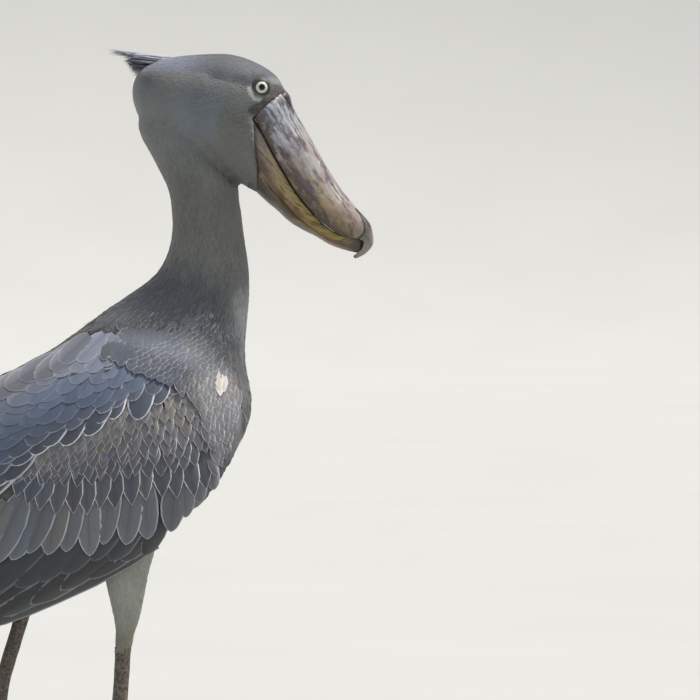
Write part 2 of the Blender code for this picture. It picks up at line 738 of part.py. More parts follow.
def wing_vanes(side):
    """Every feather tract of one wing, each feather a little different from the next."""
    draw = random.Random(SEED)

    def place(along, above, lift):
        return on_wing(along * MM, above * MM, lift * MM, side)

    made = []
    for _, count, tip_under, rows in TRACTS:
        for i in range(count):
            along, above, length, width, heading, top = between(rows, (len(rows) - 1) * i / (count - 1))
            made.append(vane(
                place, (along + draw.uniform(-3, 3), above + draw.uniform(-1.5, 1.5)),
                heading + draw.uniform(-2, 2), length * draw.uniform(0.96, 1.04), width, top, tip_under,
                LONG_VANE if length > LONG_FROM else SHORT_VANE, draw.uniform(1, 4)))
    return made


def build_wing(name, side):
    """A folded wing out to its tip, laid on the flank."""
    rings = []
    for i in range(WING_STEPS + 1):
        along, low, high = (v * MM for v in between(WING_ROWS, (len(WING_ROWS) - 1) * i / WING_STEPS))
        rings.append(wing_ring(along, low, high, side))
    wing = loft(name, rings, ("wing_feathers", DARK_SLATE, 0.7))
    combine(wing, wing_vanes(side), "UNION", "MANIFOLD")
    combine(wing, [grown_body()], "DIFFERENCE")
    shade(wing, 25)


def tail_loft(name, grow=0.0):
    rings = []
    for i in range(6):
        along, above, thick, width = (v * MM for v in between(TAIL_ROWS, (len(TAIL_ROWS) - 1) * i / 5))
        ring = []
        for k in range(12):
            rise, reach = rounded(2 * math.pi * k / 12, 2.6)
            ring.append(body_point(along, above + (thick + grow) * rise, (width + grow) * reach))
        rings.append(ring)
    return loft(name, rings, ("tail_feathers", DARK_SLATE, 0.7))


def build_tail():
    """A short square tail: a core and a fan of vanes, the middle one on top."""
    tail = tail_loft("tail")
    reach, length, width = TAIL_VANE

    def place(along, out, lift):
        droop = 5 * (out / TAIL_HALF) ** 2
        return body_point(along * MM, (2 - 0.14 * (along - 575) - droop + lift) * MM, out * MM)

    vanes = []
    for k in range(-TAIL_VANES, TAIL_VANES + 1):
        out = TAIL_HALF * k / TAIL_VANES
        top = 2.8 - 0.34 * abs(k)
        vanes.append(vane(place, (reach - 0.5 * k * k, out * 1.12), TAIL_FAN * k, length, width, top, top - 1.6,
                          SHORT_VANE, tilt=0.3 * (k > 0) - 0.3 * (k < 0), under=-2.4))
    combine(tail, vanes, "UNION")
    combine(tail, [grown_body(4)], "DIFFERENCE")
    shade(tail, 25)


def lock(root, tip, half_width, bow):
    """A flat tapered lock that sags a little and ends in a point."""
    across = (tip - root).cross(Vector((0, 0, 1))).normalized()
    points, faces, shares = [], [], (0, 0.35, 0.7)
    for share in shares:
        middle = root + (tip - root) * share - Vector((0, 0, bow * 4 * share * (1 - share)))
        wide = half_width * (1.0 - 0.5 * share)
        thick = LOCK_THICK * (1 - 0.6 * share)
        points += [middle + across * wide, middle + Vector((0, 0, thick)), middle - across * wide,
                   middle - Vector((0, 0, thick))]
    points.append(tip)
    for r in range(len(shares) - 1):
        for k in range(4):
            a, b = 4 * r + k, 4 * r + (k + 1) % 4
            faces += [(a, b, b + 4), (a, b + 4, a + 4)]
    faces += [(0, 1, 2, 3)]
    last = 4 * (len(shares) - 1)
    faces += [(last + k, last + (k + 1) % 4, len(points) - 1) for k in range(4)]
    return solid("lock", points, faces, ("crest_feathers", SLATE, 0.8))


def build_crest():
    rings = []
    for i in range(6):
        x, z, high, wide = between(CREST_CORE, (len(CREST_CORE) - 1) * i / 5)
        ring = []
        for k in range(10):
            rise, reach = rounded(2 * math.pi * k / 10, 2)
            ring.append(side_point(x, z + high * rise) + SIDE * wide * MM * reach)
        rings.append(ring)
    crest = loft("crest", rings, ("crest_feathers", SLATE, 0.8))
    locks = []
    for count, roots, tips, x, z, tip_x, tip_z, shorter, half in CREST_TIERS:
        for k in range(count):
            out = 2 * k / (count - 1) - 1
            root = side_point(x, z - 3 * out**2) + SIDE * roots * out * MM
            tip = side_point(tip_x + shorter * (abs(out) + 0.12 * out), tip_z - 3 * abs(out))
            locks.append(lock(root, tip + SIDE * tips * out * MM, half * MM, LOCK_BOW))
    combine(crest, locks, "UNION")
    combine(crest, [head_loft("cut", GAP)], "DIFFERENCE")
    combine(crest, [body_piece("cut", 0, 5, 7, NECK_SIDES, ("cutter", SLATE, 0.8), GAP)], "DIFFERENCE")
    shade(crest, 25)


def leg_out(height):
    """Distance of a leg's middle from the midline: it spreads a little towards the foot."""
    share = min(max(height / (540 * MM), 0), 1)
    return FOOT_OUT + (HIP_OUT - FOOT_OUT) * share


def leg_ring(x, height, long, wide, side):
    ring = []
    for k in range(LEG_SIDES):
        angle = 2 * math.pi * k / LEG_SIDES
        ring.append(Vector((x + long * math.cos(angle), side * leg_out(height) + wide * math.sin(angle), height)))
    return ring


LEG_STEPS = {"thigh": 10, "shank": 4, "tarsus": 10}
LEG_FINISH = {
    "thigh": ("thigh_feathers", NECK_GREY, 0.85),
    "shank": ("leg_skin", LEG_GREY, 0.6),
    "tarsus": ("leg_skin", LEG_GREY, 0.6),
}


def build_leg(name, rows_of, side):
    """Feathered thigh, bare shank and tarsus, cut level at each joint."""
    for part, rows in rows_of.items():
        rings = []
        for i in range(LEG_STEPS[part] + 1):
            x, height, long, wide = (v * MM for v in between(rows, (len(rows) - 1) * i / LEG_STEPS[part]))
            if i == 0 and part != "thigh":
                height -= GAP
            rings.append(leg_ring(x, height, long, wide, side))
        made = loft(f"{part}_{name}", rings, LEG_FINISH[part])
        if part == "thigh":
            combine(made, [grown_body()], "DIFFERENCE")
        shade(made)
    build_foot(name, rows_of["tarsus"][-1][0] * MM, side)


def foot_pad(name, x, side):
    rings = []
    for i in range(7):
        height, long, wide = (v * MM for v in between(FOOT_ROWS, (len(FOOT_ROWS) - 1) * i / 6))
        if i == 6:
            height -= GAP
        ring = leg_ring(x, height, long, wide, side)
        for p in ring:
            p.y += side * (leg_out(33 * MM) - leg_out(height))
        rings.append(ring)
    return loft(name, rings, ("foot_skin", LEG_GREY, 0.6))


def toe_ring(centre, run, radius, sides):
    """A ring round a toe, flat where it meets the floor."""
    across = Vector((-run.y, run.x, 0)).normalized()
    ring = []
    for k in range(sides):
        angle = 2 * math.pi * (k + 0.5) / sides
        p = centre + across * radius * math.cos(angle) + Vector((0, 0, radius * math.sin(angle)))
        p.z = max(p.z, 0)
        ring.append(p)
    return ring


def build_foot(name, x, side):
    """A pad under the tarsus with four long toes on the floor, each with its claw."""
    pad_centre = Vector((x, side * leg_out(33 * MM), 0))
    foot = foot_pad(f"foot_{name}", x, side)
    toes = []
    for toe, degrees, length, thick, thin, joints in TOES:
        turn = math.radians(degrees)
        run = Vector((math.cos(turn), -side * math.sin(turn), 0))
        steps = 2 * joints + 1
        rings = []
        for i in range(steps + 1):
            share = i / steps
            knuckle = 1 + 0.10 * math.cos(2 * math.pi * (joints * share - 0.1)) * (0.1 < share < 0.97)
            radius = (thick + (thin - thick) * share) * MM * knuckle
            centre = pad_centre + run * (length * MM * share) + Vector((0, 0, radius * 0.86))
            rings.append(toe_ring(centre, run, radius, TOE_SIDES))
        toes.append(loft("toe", rings, ("foot_skin", LEG_GREY, 0.6)))
        toes += toe_scutes(pad_centre, run, length, thick, thin)
        build_claw(f"claw_{toe}_{name}", pad_centre + run * (length * MM + GAP), run, thin * MM)
    combine(foot, toes, "UNION", "MANIFOLD")
    shade(foot)


def toe_scutes(pad_centre, run, length, thick, thin):
    """Plates across the top of a toe, from the pad to the claw."""
    across = Vector((-run.y, run.x, 0))
    spacing, wide, high = SCUTE
    made = []
    for j in range(int((length - 22) / spacing)):
        end = length - 3 - spacing * j

        def place(along, out, lift):
            share = min(max(along / length, 0), 1)
            radius = thick + (thin - thick) * share
            drop = radius - math.sqrt(max(radius**2 - out**2, 0))
            return pad_centre + (run * along + across * out + Vector((0, 0, radius * 1.86 - drop + lift))) * MM

        radius = thick + (thin - thick) * end / length
        made.append(vane(place, (end, 0), 0, spacing * 0.86, 2 * radius * wide, high, -1.2,
                         [(0, 1), (0.7, 1)], tilt=0, under=-1.2))
    return made


def build_claw(name, start, run, toe_radius):
    """A blunt curved claw that reaches from the toe's end down to the floor."""
    rings = []
    for i in range(5):
        share = i / 4
        radius = toe_radius * (0.86 - 0.76 * share**1.3)
        height = max(toe_radius * 0.86 - CLAW_DROP * share**2, radius * 0.9)
        centre = start + run * CLAW_LENGTH * share + Vector((0, 0, height))
        rings.append(toe_ring(centre, run, radius, CLAW_SIDES))
    shade(loft(name, rings, ("claw_horn", CLAW_BLACK, 0.35)))


def stand_on_origin():
    """Moves the whole model so that the origin is on the floor under the middle of its box."""
    bpy.context.view_layer.update()
    places = [v.co for o in bpy.data.objects if o.type == "MESH" for v in o.data.vertices]
    low = [min(p[i] for p in places) for i in range(3)]
    high = [max(p[i] for p in places) for i in range(3)]
    shift = Vector((-(low[0] + high[0]) / 2, -(low[1] + high[1]) / 2, -low[2]))
    for item in bpy.data.objects:
        for vert in item.data.vertices:
            vert.co += shift


def main():
    clear_scene()
    build_head()
    build_bill()
    build_body()
    build_wing("wing_right", -1)
    build_wing("wing_left", 1)
    build_tail()
    build_crest()
    build_leg("right", RIGHT_LEG, -1)
    build_leg("left", LEFT_LEG, 1)
    stand_on_origin()


main()
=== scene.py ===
import math

import bmesh
import bpy
import numpy as np
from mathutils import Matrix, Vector, noise
from mathutils.bvhtree import BVHTree
from mathutils.kdtree import KDTree


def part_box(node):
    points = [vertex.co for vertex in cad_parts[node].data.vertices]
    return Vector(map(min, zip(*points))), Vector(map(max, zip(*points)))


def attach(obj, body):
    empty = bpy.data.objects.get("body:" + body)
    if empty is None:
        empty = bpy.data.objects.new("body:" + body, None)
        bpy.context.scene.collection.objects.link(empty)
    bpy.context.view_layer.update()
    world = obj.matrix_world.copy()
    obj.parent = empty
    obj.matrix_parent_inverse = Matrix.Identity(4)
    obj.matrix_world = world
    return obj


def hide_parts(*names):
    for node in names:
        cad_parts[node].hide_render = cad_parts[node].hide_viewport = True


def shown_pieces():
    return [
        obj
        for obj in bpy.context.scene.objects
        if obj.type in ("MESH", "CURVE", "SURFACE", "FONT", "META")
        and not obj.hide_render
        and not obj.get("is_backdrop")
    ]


# A standing shoebill at life size. Rows are in millimetres in the bird's own side view, as in its solids.
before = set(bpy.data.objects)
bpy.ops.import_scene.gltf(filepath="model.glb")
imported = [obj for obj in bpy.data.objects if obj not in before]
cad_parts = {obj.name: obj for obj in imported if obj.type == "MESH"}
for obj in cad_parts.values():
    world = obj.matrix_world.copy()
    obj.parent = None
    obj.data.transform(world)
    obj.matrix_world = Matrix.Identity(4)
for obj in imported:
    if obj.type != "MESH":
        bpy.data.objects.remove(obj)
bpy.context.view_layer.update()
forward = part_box("shank_right")[1].x - 0.0158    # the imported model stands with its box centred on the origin
sideways = np.array([0.0, 1.0, 0.0])
upward = np.array([0.0, 0.0, 1.0])

body = {
    "slope": math.radians(28),
    "neck": [
        (40, 1052, 132, 988, 36, 2.2), (24, 1022, 146, 958, 46, 2.2), (35, 989, 150, 939, 48, 2.1),
        (47, 964, 151, 924, 45, 2.1), (59, 938, 154, 906, 42, 2.0), (63, 909, 156, 889, 40, 2.0),
        (62.5, 880, 159, 869, 42, 2.0), (54, 850, 163, 841, 47, 2.0), (36, 826, 164, 810, 55, 2.0),
        (1, 801, 162, 780, 66, 2.0),
    ],
    "breast": [
        (-16, 790, 159, 750, 76, 2.0), (-34, 777.5, 160, 715, 88, 2.1), (-51, 765, 167.5, 675, 99, 2.1),
        (-69, 753, 162, 640, 107, 2.1), (-86, 741, 145, 605, 113, 2.1), (-101, 733.5, 116, 560, 117, 2.1),
        (-116, 726, 75, 521, 118, 2.1), (-132, 717.5, 25, 494, 118, 2.1),
    ],
    "trunk": [    # distance along the body, back and belly above its axis, half width
        (212, 134, -124, 117), (250, 131, -117, 114), (300, 124, -104, 106), (350, 113, -86, 95),
        (400, 97, -66, 80), (450, 78, -45, 62), (495, 57, -28, 46), (530, 38, -15, 35),
    ],
    "head": [
        (209, 1060, 174, 931, 46, 2.5), (196, 1081, 159, 939, 50, 2.5), (172.5, 1097, 138, 956, 54, 2.5),
        (140, 1108, 110, 975, 56, 2.4), (100, 1108, 79, 991, 54, 2.3), (62.5, 1104, 50, 1006, 47, 2.2),
        (35, 1096, 29, 1024, 36, 2.1), (22, 1082, 19.5, 1043, 22, 2.0), (17, 1068, 16.5, 1056, 7, 2.0),
    ],
    "forehead": (210.5, 1061.5), "gape": (167.5, 1029), "chin": (174.5, 929),
}
bodyStart = np.array([0.1 + forward, 0, 0.6875])
bodyAlong = np.array([-math.cos(body["slope"]), 0, -math.sin(body["slope"])])
bodyAbove = np.array([-math.sin(body["slope"]), 0, math.cos(body["slope"])])


def sidePoint(x, z):
    x, z = np.asarray(x, float), np.asarray(z, float)
    return np.stack([x * 0.001 + forward, np.zeros_like(x + z), z * 0.001 + 0 * x], -1)


def bodyPoint(along, above, out):    # metres along the body's axis, above it and out from the midline
    along, above, out = (np.asarray(v, float)[..., None] for v in (along, above, out))
    return bodyStart + bodyAlong * along + bodyAbove * above + sideways * out


def rowAt(rows, place):    # a row between rows, on a smooth curve through them all
    rows, last = np.asarray(rows, float), len(rows) - 1
    place = np.clip(np.asarray(place, float), 0, last)
    i = np.minimum(place.astype(int), last - 1)
    f = (place - i)[..., None]
    p, q, r, s = (rows[np.clip(i + k, 0, last)] for k in (-1, 0, 1, 2))
    return 0.5 * (2 * q + (r - p) * f + (2 * p - 5 * q + 4 * r - s) * f**2 + (3 * q - p - 3 * r + s) * f**3)


def unit(vectors):
    return vectors / np.maximum(np.linalg.norm(vectors, axis=-1, keepdims=True), 1e-12)


def ease(low, high, value):
    t = np.clip((value - low) / (high - low), 0, 1)
    return t * t * (3 - 2 * t)


def rounded(angle, power):
    c, s = np.cos(angle), np.sin(angle)
    return np.sign(c) * np.abs(c) ** (2 / power), np.sign(s) * np.abs(s) ** (2 / power)


def ringSurface(rows, place, angle, grow=0.0):    # a point of neck, body or head, grown or shrunk in metres
    row = rowAt(rows, place)
    back, front = sidePoint(row[..., 0], row[..., 1]), sidePoint(row[..., 2], row[..., 3])
    middle, half = (back + front) / 2, (back - front) / 2
    size = np.linalg.norm(half, axis=-1)
    rise, reach = rounded(angle, row[..., 5])
    lift = ((size + grow) * rise / size)[..., None]
    return middle + half * lift + sideways * ((row[..., 4] * 0.001 + grow) * reach)[..., None]


def trunkRow(along, top, bottom, width):
    c, s = math.cos(body["slope"]), math.sin(body["slope"])
    return (100 - c * along - s * top, 687.5 - s * along + c * top,
            100 - c * along - s * bottom, 687.5 - s * along + c * bottom, width, 2.1)


bodyRows = body["neck"] + body["breast"] + [trunkRow(*row) for row in body["trunk"]]


def hexColour(text):    # an sRGB hex value as linear red, green and blue
    values = [int(text[i:i + 2], 16) / 255 for i in (1, 3, 5)]
    return tuple(v / 12.92 if v <= 0.04045 else ((v + 0.055) / 1.055) ** 2.4 for v in values) + (1.0,)


def rgb(text):    # its red, green and blue alone
    return np.array(hexColour(text)[:3])


# A node with its settings and its inputs: a link, a value, or a colour as a hex value.
def addNode(tree, kind, inputs=None, **settings):
    node = tree.nodes.new(kind)
    for key, value in settings.items():
        setattr(node, key, value)
    for key, value in (inputs or {}).items():
        if isinstance(value, bpy.types.NodeSocket):
            tree.links.new(value, node.inputs[key])
        else:
            node.inputs[key].default_value = hexColour(value) if isinstance(value, str) else value
    return node


def startMaterial(name, **sockets):
    material = bpy.data.materials.new(name)
    material.use_nodes = True
    tree = material.node_tree
    tree.nodes.clear()
    shader = addNode(tree, "ShaderNodeBsdfPrincipled", sockets)
    addNode(tree, "ShaderNodeOutputMaterial", {"Surface": shader.outputs["BSDF"]})
    return material, tree, shader


def stand(name, data):    # an object in the scene for a mesh, a lamp or a camera
    item = bpy.data.objects.new(name, data)
    bpy.context.scene.collection.objects.link(item)
    return item


def finishPiece(item, material, *nodes, slot=None, smooth=True):
    item.data.materials.clear()
    item.data.materials.append(material)
    if smooth:
        item.data.polygons.foreach_set("use_smooth", [True] * len(item.data.polygons))
    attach(item, "root")
    if nodes:
        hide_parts(*nodes)


def signedVolume(points, quads):
    a, b, c, d = (points[quads[:, k]] for k in range(4))
    return (np.einsum("ij,ij->i", a, np.cross(b, c)) + np.einsum("ij,ij->i", a, np.cross(c, d))).sum()


def ringQuads(rows, ring):    # the faces between rings of points that follow one another
    r, k = np.arange(rows - 1)[:, None] * ring, np.arange(ring)[None]
    m = (k + 1) % ring
    return np.stack([r + k, r + m, r + ring + m, r + ring + k], -1).reshape(-1, 4)


# Closed shells of one form, joined in one mesh: rings of points from root to tip, then a point.
def shellMesh(name, rings, tips, uvs, attributes, top=3, lies=None):
    count, rows, ring = rings.shape[:3]
    each = rows * ring + 1
    points = np.concatenate([rings.reshape(count, rows * ring, 3), tips[:, None]], 1)
    quads, last, k = ringQuads(rows, ring), (rows - 1) * ring, np.arange(ring)
    fans = np.stack([last + k, last + (k + 1) % ring, np.full(ring, rows * ring)], -1)
    faces = [*quads, *fans, k[::-1]]
    soft = np.concatenate([np.tile(k < top - 1, rows), [False]])    # the face curves, the back is flat
    if signedVolume(points[0] - points[0].mean(0), quads) < 0:
        faces = [face[::-1] for face in faces]
    flat, sizes = np.concatenate(faces), np.array([len(face) for face in faces])
    loops = (flat[None] + (np.arange(count) * each)[:, None]).ravel()
    sizes = np.tile(sizes, count)
    mesh = bpy.data.meshes.new(name)
    mesh.vertices.add(count * each)
    mesh.vertices.foreach_set("co", points.reshape(-1).astype(np.float32))
    mesh.loops.add(len(loops))
    mesh.loops.foreach_set("vertex_index", loops.astype(np.int32))
    mesh.polygons.add(len(sizes))
    mesh.polygons.foreach_set("loop_start", (np.cumsum(sizes) - sizes).astype(np.int32))
    mesh.update(calc_edges=True)
    mesh.polygons.foreach_set("use_smooth", np.tile(soft, count))
    for layer, values in uvs.items():
        values = values.reshape(-1, 2)[loops].ravel().astype(np.float32)
        mesh.uv_layers.new(name=layer).data.foreach_set("uv", values)
    for key, values in attributes.items():
        kind = "FLOAT_COLOR" if values.shape[-1] == 4 else "FLOAT"
        made = mesh.attributes.new(key, kind, "POINT")
        made.data.foreach_set("color" if kind == "FLOAT_COLOR" else "value",
                              values.ravel().astype(np.float32))
    if lies is not None:    # the faces are shaded nearly as the surface they lie on, the backs by their own
        facing = lies.reshape(-1, 3)[loops]
        facing[~np.repeat(np.tile(soft, count), sizes)] = 0
        mesh.normals_split_custom_set(facing.tolist())
    return stand(name, mesh)


# A closed loft through rings, with a middle point on each end.
def loftMesh(name, grid, attributes=None, uv=None):
    rows, ring = grid.shape[:2]
    points = np.concatenate([grid.reshape(-1, 3), grid[0].mean(0)[None], grid[-1].mean(0)[None]])
    quads = ringQuads(rows, ring)
    last, first, end = (rows - 1) * ring, rows * ring, rows * ring + 1
    faces = quads.tolist()
    faces += [[(i + 1) % ring, i, first] for i in range(ring)]
    faces += [[last + i, last + (i + 1) % ring, end] for i in range(ring)]
    if signedVolume(points - points.mean(0), quads) < 0:
        faces = [face[::-1] for face in faces]
    mesh = bpy.data.meshes.new(name)
    mesh.from_pydata(points.tolist(), [], faces)
    for key, values in (attributes or {}).items():
        values = np.concatenate([values.reshape(-1), values[0].mean(keepdims=True),
                                 values[-1].mean(keepdims=True)])
        mesh.attributes.new(key, "FLOAT", "POINT").data.foreach_set("value", values.astype(np.float32))
    if uv is not None:
        flat = np.concatenate([uv.reshape(-1, 2), uv[0].mean(0)[None], uv[-1].mean(0)[None]])
        index = np.zeros(len(mesh.loops), np.int32)
        mesh.loops.foreach_get("vertex_index", index)
        mesh.uv_layers.new(name="grain").data.foreach_set("uv", flat[index].ravel().astype(np.float32))
    return stand(name, mesh)


def applied(item):    # the object's mesh with its modifiers, and none left on it
    bpy.context.view_layer.update()
    graph = bpy.context.evaluated_depsgraph_get()
    made = bpy.data.meshes.new_from_object(item.evaluated_get(graph))
    item.modifiers.clear()
    old, item.data = item.data, made
    bpy.data.meshes.remove(old)
    return item


def meshArrays(item):
    points = np.zeros(len(item.data.vertices) * 3)
    item.data.vertices.foreach_get("co", points)
    normals = np.zeros(len(item.data.vertices) * 3)
    item.data.vertices.foreach_get("normal", normals)
    return points.reshape(-1, 3), normals.reshape(-1, 3)


def treeOf(item):    # for finding the nearest point of a mesh, or the first one on a ray
    points, _ = meshArrays(item)
    return BVHTree.FromPolygons(points.tolist(), [tuple(p.vertices) for p in item.data.polygons])


def fullTurn(count):    # angles all the way round, in a row
    return np.linspace(0, 2 * math.pi, count, endpoint=False)[None]


def localView(points):    # millimetres in the bird's side view: x, z
    return (points[..., 0] - forward) * 1000, points[..., 2] * 1000


def noiseAt(points, millimetres, seed=0.0):
    places = (points.reshape(-1, 3) / (millimetres * 0.001)).tolist()
    return np.array([noise.noise(Vector((x, y + seed, z))) for x, y, z in places]).reshape(points.shape[:-1])


print("camera, floor and lights")
studio = {
    "aim": (287.5, 737.5), "distance": 6.0, "elevation": 2.0, "across": 0.875,
    "floorFlat": 17.0, "wallTo": 24.0, "wallHigh": 9.0, "worldHex": "#e6edf7", "world": 0.52,
    # where the high light comes from, strength, softness, colour
    "high": ((0.46, 0.03, 0.88), 6.6, 12.0, "#fffaf3"),
    "lights": [    # place from the bird, width, power, colour
        ((2.4, -2.6, 1.6), 2.2, 12, "#ffffff"),
        ((-1.6, -3.4, 1.2), 2.4, 10, "#e2ecff"),
    ],
}


def placeCamera():
    aim = sidePoint(*studio["aim"])
    rise = math.radians(studio["elevation"])
    lens = bpy.data.cameras.new("camera")
    lens.sensor_width = 36
    lens.lens = 36 * studio["distance"] / studio["across"]
    lens.clip_end = 200
    camera = stand("camera", lens)
    back = Vector((0, -math.cos(rise), math.sin(rise)))
    camera.location = Vector(aim) + back * studio["distance"]
    camera.rotation_euler = (-back).to_track_quat("-Z", "Y").to_euler()
    bpy.context.scene.camera = camera


def layFloor():
    # The floor is flat for a long way round and then rises as a smooth bowl, so no edge shows.
    radii = [0.0, 1, 4, 9, studio["floorFlat"]]
    heights = [0.0] * 5
    for i in range(1, 13):
        share = i / 12
        deep = studio["wallTo"] - studio["floorFlat"]
        radii.append(studio["floorFlat"] + deep * math.sin(share * math.pi / 2))
        heights.append(studio["wallHigh"] * (1 - math.cos(share * math.pi / 2)))
    sides = 96
    turn = fullTurn(sides)[0]
    points = [(radius * math.cos(a), radius * math.sin(a), height)
              for radius, height in zip(radii[1:], heights[1:]) for a in turn]
    faces = [tuple(range(sides)), *ringQuads(len(radii) - 1, sides)[:, ::-1].tolist()]
    mesh = bpy.data.meshes.new("floor")
    mesh.from_pydata(points, [], faces)
    floor = stand("floor", mesh)
    # Painted studio board: matt, even, faintly uneven in tone.
    material, tree, shader = startMaterial("paintedBoard", Roughness=0.85)
    where = addNode(tree, "ShaderNodeTexCoord").outputs["Object"]
    cloud = addNode(tree, "ShaderNodeTexNoise", {"Vector": where, "Scale": 1.5, "Detail": 2.0})
    tone = addNode(tree, "ShaderNodeMix", {0: cloud.outputs["Fac"], 6: "#9fa09f", 7: "#a4a5a4"},
                   data_type="RGBA")
    tree.links.new(tone.outputs[2], shader.inputs["Base Color"])
    mesh.materials.append(material)
    mesh.polygons.foreach_set("use_smooth", [True] * len(mesh.polygons))
    floor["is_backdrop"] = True


def hangLights():
    world = bpy.data.worlds.new("studio")
    world.use_nodes = True
    background = world.node_tree.nodes["Background"]
    background.inputs["Color"].default_value = hexColour(studio["worldHex"])
    background.inputs["Strength"].default_value = studio["world"]
    bpy.context.scene.world = world
    aim = Vector(sidePoint(60, 750))
    for i, (spot, width, power, tint) in enumerate(studio["lights"]):
        lamp = bpy.data.lights.new(f"softbox{i}", "AREA")
        lamp.shape, lamp.size, lamp.energy = "SQUARE", width, power
        lamp.color = hexColour(tint)[:3]
        item = stand(f"softbox{i}", lamp)
        item.location = aim + Vector(spot)
        item.rotation_euler = (-Vector(spot)).to_track_quat("-Z", "Y").to_euler()
    spot, power, spread, tint = studio["high"]
    lamp = bpy.data.lights.new("highLight", "SUN")
    lamp.energy, lamp.angle, lamp.color = power, math.radians(spread), hexColour(tint)[:3]
    item = stand("highLight", lamp)
    item.rotation_euler = (-Vector(spot)).to_track_quat("-Z", "Y").to_euler()
    view = bpy.context.scene.view_settings
    view.view_transform, view.look = "Standard", "None"


placeCamera()
layFloor()
hangLights()


wing = {
    "core": [(-38, -44, 0), (-24, -66, 32), (0, -92, 56), (50, -119, 78), (100, -129, 90), (162, -131, 97),
             (225, -127, 99), (300, -119, 94), (375, -106, 80), (437, -92, 60), (490, -76, 36),
             (530, -62, 12), (560, -52, -8)],
    # level of greatest width, reach above it and below it, half width, at distances along the body
    "shield": [(-38, -12, 120, 120, 74), (-24, -10, 128, 128, 92), (0, -6, 134, 140, 107),
               (50, 0, 138, 152, 123), (100, 4, 137, 159, 133), (162, 4, 137, 161, 137),
               (225, 2, 136, 156, 135), (300, -4, 128, 146, 126), (375, -12, 112, 130, 111),
               (437, -20, 92, 112, 94), (500, -30, 72, 88, 75), (550, -36, 56, 66, 62),
               (587, -40, 40, 44, 54), (607, -40, 30, 30, 50)],
    "topPower": 2.1, "lowPower": 3.6, "round": 0.86, "sheet": 0.008, "root": 0.042, "inset": 0.003,
}


def shieldRow(along):    # the folded wing there: level of greatest width, reach above and below, half width
    rows = np.array(wing["shield"], float)
    row = rowAt(rows, np.interp(along * 1000, rows[:, 0], np.arange(len(rows)))) * 0.001
    return (row[..., k] for k in (1, 2, 3, 4))


def shieldOut(along, above):    # how far out the folded wing's surface lies, in metres
    level, up, down, width = shieldRow(along)
    high = above > level
    reach = np.abs(above - level) / np.where(high, up, down)
    power = np.where(high, wing["topPower"], wing["lowPower"])
    near = np.minimum(reach, wing["round"])
    left = 1 - near**power
    return width * (left ** (1 / power) - (reach - near) * left ** (1 / power - 1) * near ** (power - 1))


def overFlank(outAt, along, above, lift, side):    # a point over the flank's surface, square to it; metres
    step = 0.001
    out = outAt(along, above)
    lean = [out - outAt(along + step, above), out - outAt(along, above + step), np.full_like(out, step)]
    lean = unit(np.stack(lean, -1)) * np.asarray(lift)[..., None]
    return bodyPoint(along + lean[..., 0], above + lean[..., 1], side * (out + lean[..., 2]))


legs = {
    "hip": 0.056, "foot": 0.064, "high": 0.540,
    "right": {
        "thigh": [(14, 545, 40, 25), (11, 515, 43, 28), (10, 490, 38, 28), (10, 465, 31, 25),
                  (10.5, 431, 24, 20), (10.5, 405, 18.5, 16), (8, 384, 13.5, 13), (6, 365, 10.8, 11)],
        "bare": [(6, 371, 9.8, 9.6), (4.5, 340, 9.3, 9), (2, 305, 9.6, 9.4), (0, 288, 12.2, 11.6),
                 (-1, 277, 14, 13), (-0.5, 264, 12, 11.5), (0.5, 245, 9.2, 9), (2.5, 180, 8.2, 8.4),
                 (4.5, 90, 8.4, 8.8), (5.5, 50, 9.6, 10), (6, 30, 11.2, 11.7)],
        "ankle": 6.0,
    },
    "left": {
        "thigh": [(-72, 560, 40, 25), (-80, 530, 41, 28), (-88, 505, 36, 27), (-97, 480, 30, 24),
                  (-107, 455, 23, 20), (-116, 430, 17, 16), (-121, 415, 12.8, 13), (-126, 402, 10.8, 11)],
        "bare": [(-124.5, 408, 9.8, 9.6), (-136, 370, 9.3, 9), (-151, 322, 9.8, 9.6), (-158, 298, 12.2, 11.6),
                 (-161, 287, 14, 13), (-161.5, 274, 12, 11.5), (-160.5, 254, 9.2, 9), (-157, 180, 8.2, 8.4),
                 (-153, 90, 8.4, 8.8), (-151.5, 50, 9.6, 10), (-151, 30, 11.2, 11.7)],
        "ankle": -151.0,
    },
}


def legOut(height):
    share = np.clip(np.asarray(height) / legs["high"], 0, 1)
    return legs["foot"] + (legs["hip"] - legs["foot"]) * share


def legSurface(rows, place, angle, side, grow=0.0):
    row = rowAt(rows, place) * 0.001
    x = row[..., 0] + (row[..., 2] + grow) * np.cos(angle) + forward
    y = side * legOut(row[..., 1]) + (row[..., 3] + grow) * np.sin(angle)
    return np.stack([x, y + 0 * x, row[..., 1] + 0 * x], -1)


skin = {
    "voxel": 0.0034, "headInset": 0.0022, "thighInset": 0.0035,
    "insetPlaces": [0, 5, 9, 14, 25], "insets": [0.0025, 0.003, 0.004, 0.006, 0.006],
    # folds and hollows of the face: x, z, radius, height; on both sides
    "forms": [(178, 1065, 15, -1.0), (176, 1082, 9, 1.8), (192, 1079, 9, 1.5), (160, 1077, 9, 1.0),
              (197, 1055, 9, -1.6), (180, 1043, 8, -1.4), (172, 1050, 6, 1.2), (163, 1058, 7, 0.9),
              (140, 1000, 26, 1.8), (110, 1020, 24, 1.0), (104, 987, 7, -2.2), (113, 979, 7, -3.4),
              (122, 971, 7, -4.4), (131, 963, 7, -5.2), (140, 955, 7, -5.6), (148, 948, 7, -5.0),
              (122, 985, 8, 1.2), (134, 975, 8, 2.0), (146, 966, 9, 2.4), (158, 957, 9, 1.8),
              (62, 1060, 22, 1.2), (90, 1084, 10, -0.8), (120, 1078, 8, -0.8), (146, 1072, 7, -0.6)],
    "backForms": [(24, 1022, 15, 2.6), (33, 1000, 14, 2.0), (20, 1044, 12, 1.0)],    # fills the nape
}


